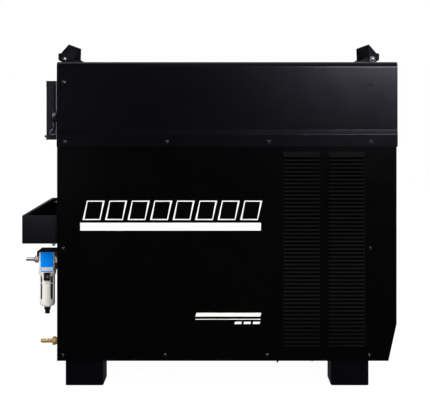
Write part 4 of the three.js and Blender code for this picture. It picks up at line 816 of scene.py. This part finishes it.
def drain_cock():
    """Two-step cock with a fluted grip of 12 lobes on its stem, and a flange inside the bowl."""
    rows = [(0, 177, 0), (7, 177, 1), (7.6, 177.8, 1), (7.6, 187.6, 1), (7.8, 188.2, 0), (9.4, 189.2, 0)]
    rows += [(10, 190, 1), (10, 198.6, 1), (9.6, 199.4, 0), (5, 199.4, 0), (5, 204.4, 0), (8, 204.4, 0)]
    rows += [(8, 206.4, 0), (0, 206.4, 0)]
    shell = fluted("Z", AXIS, rows, steps=72, lobes=12, depth=0.045)
    piece("two_step_drain_cock", [shell], NYLON, "drain_cock", ["drain_cock"], 35)


def bowl_latch():
    """Latch button: a rounded block with two grip ridges and a pale zinc dome, which is a painted
    highlight standing for the gleam on the glossy black button. Its back is kept clear of the guard,
    below a small hood that stays on the guard."""
    x, front, top = FILTER_X + 2.5, HEAD_FRONT + 0.5, 299.7
    wide = about(x, 9.5)
    block = eased(oblong(wide, (top - 17, top)), 3)
    shells = [slab("Y", block, (front + 1.2, front + 5.2))]
    for drop in (11, 14.5):
        ridge = rounded(about(x, 7), about(top - drop, 1.1), 1, 3)
        shells.append(slab("Y", ridge, (front, front + 2)))
    body = "bowl_latch"
    piece("filter_latch_button", shells, NYLON, body, [body], sharp=30, bevel=0.4)
    # The dome is pale zinc on a black plastic latch: a painted highlight in place of the black button's
    # gleam.
    dome = [(0, -1.6), (1.9, -1.3), (3.2, -0.4), (3.8, 1.2), (3.8, 2), (0, 2)]
    button = lathe("Y", (x + 2.5, top - 5), rows_from(front, dome), 24)
    piece("filter_latch_painted_highlight", [button], ZINC, body, sharp=50)
    outline = rounded(wide, (top + 0.6, top + 8), 1.5, 3)
    hood = slab("Y", outline, (front + 0.6, front + 6))
    piece("filter_latch_hood", [hood], NYLON, bevel=0.4)


def hose_fitting(node, finish_of, centre, tip, nut, seat, stem, nut_radius):
    """Hose barb along X: a bored stem whose four ridges climb by 1.1 mm from the tip and drop back, a
    chamfered hexagon, and a flange. nut is where its hexagon starts and ends and where the flange
    ends. Places are forward of the hood's rear edge."""
    nut_start, nut_end, flange_end = nut
    bore, rise, ridges = 2.4, 1.1, 4
    step = (nut_start - tip) / (ridges + 0.5)
    rows = [(bore, tip), (stem - 0.9, tip), (stem, tip + 0.8)]
    for i in range(ridges):
        end = tip + (i + 1) * step
        crest = [(stem + rise, end - 0.15 * step), (stem + rise, end - 0.05 * step)]
        rows += [(stem, end - 0.75 * step), *crest, (stem, end)]
    rows += [(stem, nut_start + 1), (stem, seat), (bore, seat), (bore, tip)]
    flange = oblong((2.5, nut_radius * 0.8), (nut_end - 0.5, flange_end))
    chamfer = [(stem, nut_start - 0.8), (nut_radius * 0.82, nut_start - 0.8)]
    chamfer += [(nut_radius * 0.87, nut_start + 0.1), (stem, nut_start + 0.1)]
    shells = [
        lathe("X", centre, rows_from(REAR_EDGE, rows), 32),
        slab("X", polygon(centre, nut_radius, 6), (fore(nut_start), fore(nut_end))),
        lathe("X", centre, rows_from(REAR_EDGE, [*flange, flange[0]]), 32),
        lathe("X", centre, rows_from(REAR_EDGE, [*chamfer, chamfer[0]]), 32),
    ]
    piece(node.replace("barb", "hose_barb"), shells, finish_of, stands_for=[node], sharp=30)


filter_head()
filter_label()
bowl_guard()
filter_bowl()
filter_element()
drain_cock()
bowl_latch()
hose_fitting("inlet_barb", ZINC, (FILTER_Y, PORT_Z), -123, (-95, -84.4, -83.8), -78.5, 5, 11.5)
hose_fitting("outlet_barb", BRASS, (-260, 129), -50, (-14.3, -6.5, 1.7), 4.8, 5.4, 13)

# ---------------------------------------------------------------- remote-control socket

SOCKET = (-252, 790)


def control_socket():
    """Round socket on a square flange with four screws, and the lug that holds the lanyard's end."""
    y, z = SOCKET
    seat = fore(1.7)
    face = seat - 2
    flange = eased(oblong(about(y, 18), about(z, 18)), 4)
    lug = eased(oblong(about(y, 5), (752, 774)), [3, 3, 0, 0])
    barrel = [(0, -11.3), (11, -11.3), (11, -5), (12.6, -5), (12.6, -11.3), (13.6, -11.3), (14, -10.9)]
    barrel += [(14, 1.7), (12, 1.7), (12, 17), (0, 17)]
    plates = [slab("X", outline, (face, seat)) for outline in (flange, lug)]
    shells = [*plates, lathe("X", SOCKET, rows_from(REAR_EDGE, barrel), 40)]
    name, slot = "round_control_socket", "cast_aluminium"
    piece(name, shells, ALUMINIUM, stands_for=["control_socket"], sharp=30)
    places = [(a, b) for a in about(y, 13.6) for b in about(z, 13.6)]
    heads = [screw((face, *place), "X", -1, 2.4, 1.3) for place in places]
    heads.append(screw((face - 2.2, y, 757), "X", -1, 3.4, 1.6))
    piece("socket_screws", heads, WIRE, sharp=40)


def dust_cap():
    """Turned cap with a knurled rim of 36 lobes over a groove that holds the lanyard's ring."""
    mouth, inside, groove = -0.9, -11.9, -12.5
    rows = [(0, -17.5, 0), (13.2, -17.5, 0), (14.6, -16.9, 0), (15, -16.2, 0), (15, -15.8, 0)]
    rows += [(14.7, -15.7, 0), (13, -15.6, 0), (13, groove - 0.1, 0), (15.4, groove, 0)]
    rows += [(16, groove + 0.6, 1), (16, mouth - 1.2, 1), (15.6, mouth, 0), (14.6, mouth, 0)]
    rows += [(14.6, inside, 0), (0, inside, 0)]
    shell = fluted("X", SOCKET, rows, steps=144, lobes=36, depth=0.012, start=REAR_EDGE)
    piece("knurled_dust_cap", [shell], OXIDE, "dust_cap", ["dust_cap"], 30)


# The lanyard's loop, forward of the rear edge and up from the socket's axis.
LANYARD = [(-14.0, -29), (-17.2, -36), (-25, -43.9), (-22, -50.8), (-16, -53.5), (-10, -50), (-8, -42)]
LANYARD += [(-6, -35), (-3.3, -33.2)]


def cap_lanyard():
    """Wire lanyard: a ring in the cap's groove, a crimp sleeve, and a loop down to the lug. The loop
    runs along a Catmull-Rom curve, whose own length is the cord's; the sleeve and ring are lathes."""
    y, z = SOCKET
    way = smooth_way([(fore(s), y, z + up) for s, up in LANYARD], 90)
    ring = arc((14.6, -14.0), 0.9, 0, 360, 12)
    crimp = [(0, -30.6), (1.7, -30.6), (2.1, -30), (1.8, -26), (2.1, -25), (1.8, -22), (2.1, -18)]
    crimp += [(1.6, -16.9), (0, -16.9)]
    loop = tube(way, 1, 12)
    wire = piece("cap_lanyard_wire", [loop], WIRE, stands_for=["cap_lanyard"], sharp=40)
    ends = [lathe("X", SOCKET, rows_from(REAR_EDGE, ring), 64)]
    ends.append(lathe("Z", (fore(-14), y), rows_from(z, crimp), 20))
    terminals = piece("cap_lanyard_ring_and_crimp", ends, WIRE, sharp=40)


def interface_details():
    """Flat cover screws on the remote-control interface box, and a black thumb screw at the corner
    low down on the near side, with a turned waist."""
    low, high = box("interface_cover")
    rear, inset, drop = low[0], 9, 14
    near, far = low[1] + inset, high[1] - inset
    places = [(far, low[2] + drop), (near, high[2] - drop), (far, high[2] - drop)]
    heads = [screw((rear, *place), "X", -1, 3.4, 1.2) for place in places]
    piece("interface_screws", heads, ZINC)
    thumb = [(0, 0.4), (2.6, 0.4), (2.6, -1.2), (3.8, -1.8), (4, -2.4), (4, -4.2), (3.6, -4.8), (2.4, -5)]
    thumb.append((0, -5))
    shell = lathe("X", (low[1] + 7, low[2] + 10), rows_from(rear, thumb), 28)
    piece("interface_thumb_screw", [shell], NYLON)


control_socket()
dust_cap()
cap_lanyard()
interface_details()

# ---------------------------------------------------------------- rear tray

TRAY_LOW, TRAY_HIGH = box("rear_tray")
TRAY_SEAM = fore(-11)  # where the tray's side walls meet its mounting flange


def tray_plan(inset, groove):
    """Plan of the tray wall, an inset in from its outer face: a rectangle with round corners whose two
    side walls dip by groove over 3 mm at the mounting flange's seam."""
    x, y = within(inset, *zip(TRAY_LOW[:2], TRAY_HIGH[:2]))
    ring = rounded(x, y, max(3.5 - inset, 0.8), steps=4)
    dip = [(1.5, 0), (1.4, 1), (-1.4, 1), (-1.5, 0)]
    far = [(TRAY_SEAM + u, y[1] - v * groove) for u, v in dip]
    near = [(TRAY_SEAM - u, y[0] + v * groove) for u, v in dip]
    return np.concatenate([ring[:5], far, ring[5:15], near, ring[15:]])


def rear_tray():
    """Open-top tray of folded sheet: one skin that runs from the floor round the bottom bend, up the
    outside, over the rolled hem, and down the inside to the floor again, and a folded lip at the rear.

    Row i is the plan at inset d_i and height h_i; the first and last rows close as flat floors."""
    height = TRAY_HIGH[2] - TRAY_LOW[2]
    rows = [(3, 0, 0), (0.9, 0.9, 0), (0, 3, 1), (0, height - 1.6, 1), (0.6, height - 0.4, 1), (2, height, 0)]
    rows += [(3.4, height - 0.4, 0), (4, height - 1.6, 0), (4, height - 9, 0), (3.4, height - 9.8, 0)]
    rows += [(2.2, height - 10, 0), (2, height - 11, 0), (2, 5, 0), (2.6, 2.9, 0), (5, 2, 0)]
    rings = []
    for inset, rise, dip in rows:
        plan = tray_plan(inset, 1.5 * dip)
        rings.append(np.column_stack([plan, np.full(len(plan), TRAY_LOW[2] + rise)]))
    count = len(rings[0])
    floors = [range(count), range((len(rings) - 1) * count, len(rings) * count)]
    faces = [*grid_faces(len(rings), count, around=True), *floors]
    low, high, top = TRAY_LOW[0] + 2, TRAY_LOW[0] + 10, TRAY_HIGH[2]
    inner, under = high - 1.6, top - 1.6
    lip = [(low, top), (high, top), (high, top - 5), (inner, top - 5), (inner, under), (low, under)]
    lip = eased(lip, [0, 1.2, 0, 0, 0.6, 0])
    lip_ends = (TRAY_LOW[1] + 3, TRAY_HIGH[1] - 3)
    shells = [(np.concatenate(rings), faces), slab("Y", lip, lip_ends)]
    piece("rear_tray_folded", shells, FOLDED, stands_for=["rear_tray"], sharp=40)
    washer = rows_from(TRAY_LOW[2], [(0, 1), (7, 1), (7, -0.8), (0, -0.8)])
    bolts = []
    for side in SIDES.values():
        place = (fore(-12), side * 262)
        bolts.append(lathe("Z", place, washer, 20))
        bolts.append(slab("Z", polygon(place, 4.6, 6), (TRAY_LOW[2] - 6.4, TRAY_LOW[2])))
    piece("tray_bolts", bolts, ZINC, sharp=30)


# ---------------------------------------------------------------- filter bracket


def filter_bracket():
    """Bent bracket over the filter head: a sheet with rounded bends, its side view carried across,
    and the heads and washers of the four screws that hold the filter head."""
    low, high = box("filter_bracket")
    wall, turned_down = 3, 18
    x0, x1, z0, z1 = low[0] + 7, high[0], low[2], high[2]
    rear = [(x1, z1), (x0, z1), (x0, z1 - turned_down), (x0 + wall, z1 - turned_down)]
    inner = [(x0 + wall, z1 - wall), (x1 - wall, z1 - wall), (x1 - wall, z0), (x1, z0)]
    radii = np.array([4.5, 4.5, 0.6, 0.6, 1.5, 1.5, 0.6, 0.6])
    bent = slab("Y", eased(rear + inner, radii, 5), (low[1], high[1]))
    piece("filter_bracket_bent", [bent], COAT, stands_for=["filter_bracket"], sharp=30)
    washer = rows_from(z1, [(0, -0.4), (5.5, -0.4), (5.5, 0.7), (0, 0.7)])
    shells = []
    for dx, dy in ((-12, -16), (-12, 16), (16, -16), (16, 16)):
        place = (HEAD_X + dx, FILTER_Y + dy)
        shells += [screw((*place, z1), "Z", 1, 4, 2.4), lathe("Z", place, washer, 20)]
    piece("filter_bracket_screws", shells, OXIDE, sharp=30)


def outlet_nipple():
    """Threaded nipple from the filter head to the gas valve: V threads 1.3 mm apart, run as a zigzag
    profile, and a chamfered hexagon against the head."""
    low, high = box("outlet_nipple")
    centre = (FILTER_Y, (low[2] + high[2]) / 2)
    start, end = low[0], high[0]
    turns = np.arange(start + 1, end - 1, 0.65)
    thread = np.column_stack([5.2 + 0.5 * (np.arange(len(turns)) % 2), turns])
    rows = [(3.4, start), (4.8, start), *thread, (4.8, end), (3.4, end), (3.4, start)]
    face = [(3.6, -26.7), (7.4, -26.7), (7.8, -26.2), (3.6, -26.2)]
    shells = [
        lathe("X", centre, rows, 24),
        slab("X", polygon(centre, 9, 6), (fore(-26.4), fore(-16))),
        lathe("X", centre, rows_from(REAR_EDGE, face), 24),
    ]
    piece(
        "outlet_nipple_threaded", shells, ZINC, stands_for=["outlet_nipple"], sharp=25, bevel=0.25
    )


rear_tray()
filter_bracket()
outlet_nipple()

# ---------------------------------------------------------------- front controls

FACE_X = 508.5  # outer face of the front fascia
KNOB_AT = (90, 830)


def framed(y, z, radius, frame_width, ends):
    """Rectangular bezel with round corners: the grid between an outer and an inner outline, four
    rows round its section (outer back, outer front, inner front, inner back), closed on itself."""
    outer = rounded(y, z, radius)
    inner = rounded(*within(frame_width, y, z), radius * 0.6)
    rows = [(outer, ends[0]), (outer, ends[1]), (inner, ends[1]), (inner, ends[0]), (outer, ends[0])]
    points = np.stack([np.column_stack([np.full(len(o), x), o]) for o, x in rows])
    return points, grid_faces(len(rows), len(outer), around=True)


def display_window():
    """Display: a moulded bezel round a smoked window that is set back, and its four screws."""
    low, high = box("display_lens")
    x, y, z = zip(low, high)
    bezel = framed(y, z, 5, 7, x)
    piece("display_bezel", [bezel], NYLON, sharp=35, bevel=0.7)
    pane = rounded(*within(6.4, y, z), 3)
    glass = slab("X", pane, (x[0] + 0.4, x[1] - 1.1))
    piece("display_pane", [glass], LENS, stands_for=["display_lens"], sharp=35, bevel=0.3)
    across, up = within(3.6, y, z)
    places = [(x[1] - 0.9, a, b) for a in across for b in up]
    heads = [screw(place, "X", 1, 1.9, 0.9) for place in places]
    piece("display_screws", heads, OXIDE, sharp=30)


def current_knob():
    """Fluted knob: the grip's radius is r - 0.35 f (1 + cos 20 t) round the turn t, over a plain skirt,
    with a rounded face, a raised pointer and its white line, and a scale on the fascia."""
    rows = [(0, 0.3, 0), (20.4, 0.3, 0), (21, 0.9, 0), (21, 4, 0), (20.2, 5, 0), (17, 5.2, 0), (16.8, 6.5, 1)]
    rows += [(15.6, 18, 1), (15.1, 19.3, 0.6), (13.8, 20, 0.1), (6, 20, 0), (0, 20, 0)]
    r, out, f = np.hsplit(np.array(rows), 3)
    radius = r - 0.35 * f * (1 + np.cos(20 * round_turn(120)))
    y, z = KNOB_AT
    pointer = eased(oblong(about(y, 2), (z, z + 20)), 1.2)
    shells = [
        turned("X", KNOB_AT, radius, FACE_X + out),
        slab("X", pointer, (FACE_X + 4, FACE_X + 21.6)),
        lathe("X", KNOB_AT, [(0, 489.2), (3, 489.2), (3, 509.5), (0, 509.5)], 20),
    ]
    piece("current_knob_fluted", shells, NYLON, "current_knob", ["current_knob"], sharp=32)
    line = slab("X", oblong(about(y, 0.6), (z + 3, z + 19.2)), (FACE_X + 21.5, FACE_X + 21.8))
    piece("current_knob_line", [line], INK, body="current_knob", sharp=30)
    marks = []
    for i in range(11):
        t = np.radians(90 - 27 * i)
        way, side = np.array([np.cos(t), np.sin(t)]), np.array([-np.sin(t), np.cos(t)])
        reach, half = (29.5, 0.7) if i % 5 else (31, 1.0)
        ends = [way * u + side * v for u, v in ((25, -half), (reach, -half), (reach, half), (25, half))]
        marks.append(slab("X", np.array(ends) + KNOB_AT, (FACE_X - 0.1, FACE_X + 0.12)))
    piece("current_scale", marks, INK, sharp=30)


def power_switch():
    """Mains rocker: two curved lands that meet in a dip, carried across the switch, a bar and a ring
    as its on and off marks, and a bezel round it on the fascia."""
    low, high = box("power_switch")
    _, y, middle = (low + high) / 2
    rise, half, back = np.linspace(0, 1, 9), 17, -8.5
    upper = np.column_stack([1 + 7.5 * rise**1.25, half * rise])
    lower = np.column_stack([3 - 2 * np.sin(np.pi * rise / 2), half * (rise - 1)])
    outline = np.concatenate([[(back, -half), (3, -half)], lower[1:-1], upper, [(back, half)]])
    rocker = slab("Y", outline + (FACE_X, middle), (low[1], high[1]))
    body = "power_switch"
    piece("power_switch_rocker", [rocker], NYLON, body, [body], sharp=40, bevel=0.6)
    bar = rounded(about(y, 0.7), (middle - 13, middle - 7), 0.3)
    ring = rows_from(FACE_X, [(2.4, 6.2), (3.5, 6.2), (3.5, 7.2), (2.4, 7.2), (2.4, 6.2)])
    marks = [slab("X", bar, (FACE_X + 1.6, FACE_X + 3.1)), lathe("X", (y, middle + 11), ring, 28)]
    piece("power_switch_marks", marks, INK, body, sharp=30)
    spans = within(-4, *zip(low[1:], high[1:]))
    bezel = framed(*spans, 4, 2.4, (FACE_X, FACE_X + 2))
    piece("power_switch_bezel", [bezel], NYLON, sharp=35, bevel=0.6)


def socket(node, brass_rows, collar_rows, pins=0):
    """Round power socket from its brass body, an insulating collar and, in the torch socket, four
    flange screws and its pins. Each row is (radius, forward of the panel)."""
    low, high = box(node)
    centre = (low + high)[1:] / 2
    brass = lathe("X", centre, rows_from(FACE_X, brass_rows), 56)
    piece(f"{node}_brass", [brass], BRASS, stands_for=[node], sharp=28)
    collar = lathe("X", centre, rows_from(FACE_X, [*collar_rows, collar_rows[0]]), 56)
    piece(f"{node}_collar", [collar], NYLON, sharp=28, bevel=0.3)
    if pins:
        pin = rows_from(FACE_X, [(0, 4), (1.3, 4), (1.3, 14.5), (0.9, 15.6), (0, 15.9)])
        heads = [screw((FACE_X + 4.2, *at), "X", 1, 2.4, 1.6) for at in polygon(centre, 33.8, 4, 45)]
        shells = [*heads, *[lathe("X", at, pin, 14) for at in polygon(centre, 8.5, pins)]]
        piece(f"{node}_pins", shells, ZINC, sharp=30)


def sockets():
    """Two output sockets and the torch socket on the lower front panel, their collars ribbed."""
    ribs = [(r, a + 3.2 * i) for i in range(5) for r, a in ((20, 10), (18.8, 11), (18.8, 12.2), (20, 13))]
    collar = [(13.4, 4.4), (20, 6.4), *ribs, (20, 27), (18.6, 28.2), (13.8, 28.2), (13.4, 27.6)]
    brass = [(0, -27.6), (12.4, -27.6), (14, -26), (14, 0.4), (25, 0.4), (25.3, 1), (25.3, 3.4), (24.4, 4.3)]
    brass += [(13, 4.3), (13, 26.4), (12.4, 27), (10.6, 27), (10, 26.2), (10, 5), (0, 5)]
    socket("output_socket_low", brass, collar)
    socket("output_socket_high", brass, collar)
    ribs = [(r, a + 4 * i) for i in range(3) for r, a in ((30, 12), (28.4, 13), (28.4, 14.6), (30, 15.6))]
    collar = [(21, 4.4), (30, 6.4), *ribs, (30, 26.6), (28.4, 28.2), (21.6, 28.2), (21, 27.6)]
    brass = [(0, -27.6), (19.4, -27.6), (21, -26), (21, 0.4), (38.2, 0.4), (38.7, 1), (38.7, 3.4)]
    brass += [(37.8, 4.3), (20.4, 4.3), (20.4, 26.4), (19.6, 27), (15.8, 27), (15, 26.2), (15, 5), (0, 5)]
    socket("torch_socket", brass, collar, pins=5)


def base_screw_ends():
    """Ends of two screws that come down through the base's near flange."""
    shells = []
    for place, tip in ((648, 68), (751, 71.5)):
        rows = [(0, 80), (2.6, 80), (2.6, tip + 1), (2.0, tip), (0, tip)]
        shells.append(lathe("Z", (fore(place), -272), rows, 14))
    piece("base_screw_ends", shells, OXIDE, sharp=30)


display_window()
current_knob()
power_switch()
sockets()
base_screw_ends()

# ---------------------------------------------------------------- studio


def floor():
    """Plain pale floor. As a lit surface it is pale and matt. To the camera and through clear parts
    it turns to the backdrop's white from 1.3 m out, so that no horizon shows, and keeps a tenth of
    the object's shadow close in. In reflections it is dim, like the unlit floor of a studio."""
    made, tree, shader, place = blank("pale_studio_floor", Base_Color=linear("#ececec"), Roughness=0.9)
    ray, clear = seen_rays(tree)
    far = add(tree, "ShaderNodeVectorMath", {0: place}, operation="LENGTH").outputs["Value"]
    spread = {"From Min": 0.5, "From Max": 1.3, "To Min": 0.9, "To Max": 1.0}
    fade = add(tree, "ShaderNodeMapRange", {"Value": far, **spread}).outputs["Result"]
    white = add(tree, "ShaderNodeMath", {0: clear, 1: fade}, operation="MULTIPLY").outputs[0]
    share = add(tree, "ShaderNodeMath", {0: white, 1: ray["Is Glossy Ray"]}, operation="MAXIMUM")
    level = add(tree, "ShaderNodeMath", {0: clear, 1: 1.04, 2: 0.04}, operation="MULTIPLY_ADD")
    glow = add(tree, "ShaderNodeEmission", {"Strength": level.outputs[0]})
    ends = {0: share.outputs[0], 1: shader.outputs["BSDF"], 2: glow.outputs["Emission"]}
    both = add(tree, "ShaderNodeMixShader", ends)
    tree.links.new(both.outputs["Shader"], tree.nodes["Material Output"].inputs["Surface"])
    mesh = bpy.data.meshes.new("studio_floor")
    reach = 6.0
    corners = [(x, y, 0) for x, y in oblong((-reach, reach), (-reach, reach))]
    mesh.from_pydata(corners, [], [(0, 1, 2, 3)])
    mesh.materials.append(made)
    sheet = bpy.data.objects.new("studio_floor", mesh)
    bpy.context.scene.collection.objects.link(sheet)


def studio_world():
    """White to the camera and through clear parts. To gloss and as light it is a dark room, a little
    less dark behind the object than on the photographer's side."""
    world = bpy.data.worlds.new("studio")
    bpy.context.scene.world = world
    world.use_nodes = True
    tree = world.node_tree
    _, clear = seen_rays(tree)
    way = add(tree, "ShaderNodeSeparateXYZ", {0: add(tree, "ShaderNodeTexCoord").outputs["Generated"]})
    spread = {"From Min": -0.35, "From Max": 0.35, "To Min": 0.015, "To Max": 0.04}
    room = add(tree, "ShaderNodeMapRange", {"Value": way.outputs["Y"], **spread}).outputs["Result"]
    level = add(tree, "ShaderNodeMath", {0: clear, 1: room}, operation="MAXIMUM")
    back = tree.nodes["Background"]
    back.inputs["Color"].default_value = (1, 1, 1, 1)
    tree.links.new(level.outputs[0], back.inputs["Strength"])


def softbox(name, centre, aim, size, power, gloss=True):
    """A rectangular softbox at a place, turned to face the aim, its power in watts. Without gloss it
    is a fill light, which shows in no reflection."""
    data = bpy.data.lights.new(name, "AREA")
    data.shape = "RECTANGLE"
    data.size, data.size_y = size
    data.energy = power
    lamp = bpy.data.objects.new(name, data)
    bpy.context.scene.collection.objects.link(lamp)
    lamp.location = centre
    lamp.rotation_euler = (Vector(aim) - Vector(centre)).to_track_quat("-Z", "Y").to_euler()
    lamp.visible_camera = False
    lamp.visible_glossy = gloss


bpy.context.scene.view_settings.view_transform = "Standard"
floor()
studio_world()
softbox("softbox_hood", (1.45, -4.2, 1.63), (0.3, 0, 0.7), (1.3, 0.6), 76)
softbox("softbox_right", (3.0, -2.9, 4.2), (0.2, 0, 0.5), (1.8, 2.2), 115)
softbox("softbox_left", (-3.0, -2.9, 4.2), (-0.2, 0, 0.5), (1.8, 2.2), 115)
softbox("front_fill", (-0.6, -4.3, 1.9), (-0.1, 0, 0.5), (2.0, 1.6), 70, gloss=False)
softbox("softbox_low_left", (-1.65, -5.0, 0.75), (-0.4, 0, 0.7), (1.4, 1.5), 1.2)
softbox("softbox_top", (0.0, 0.8, 3.8), (0, 0, 0.6), (4.0, 2.6), 30)
softbox("softbox_louvres", (0.5, -1.33, 2.9), (0.3, -0.285, 0.5), (1.6, 0.9), 1.9)
softbox("softbox_first_louvre", (0.42, -1.85, 1.88), (0.25, -0.285, 0.68), (1.2, 0.5), 0.75)
softbox("softbox_back", (0.4, 3.8, 2.4), (0, 0, 0.6), (2.6, 1.8), 18)
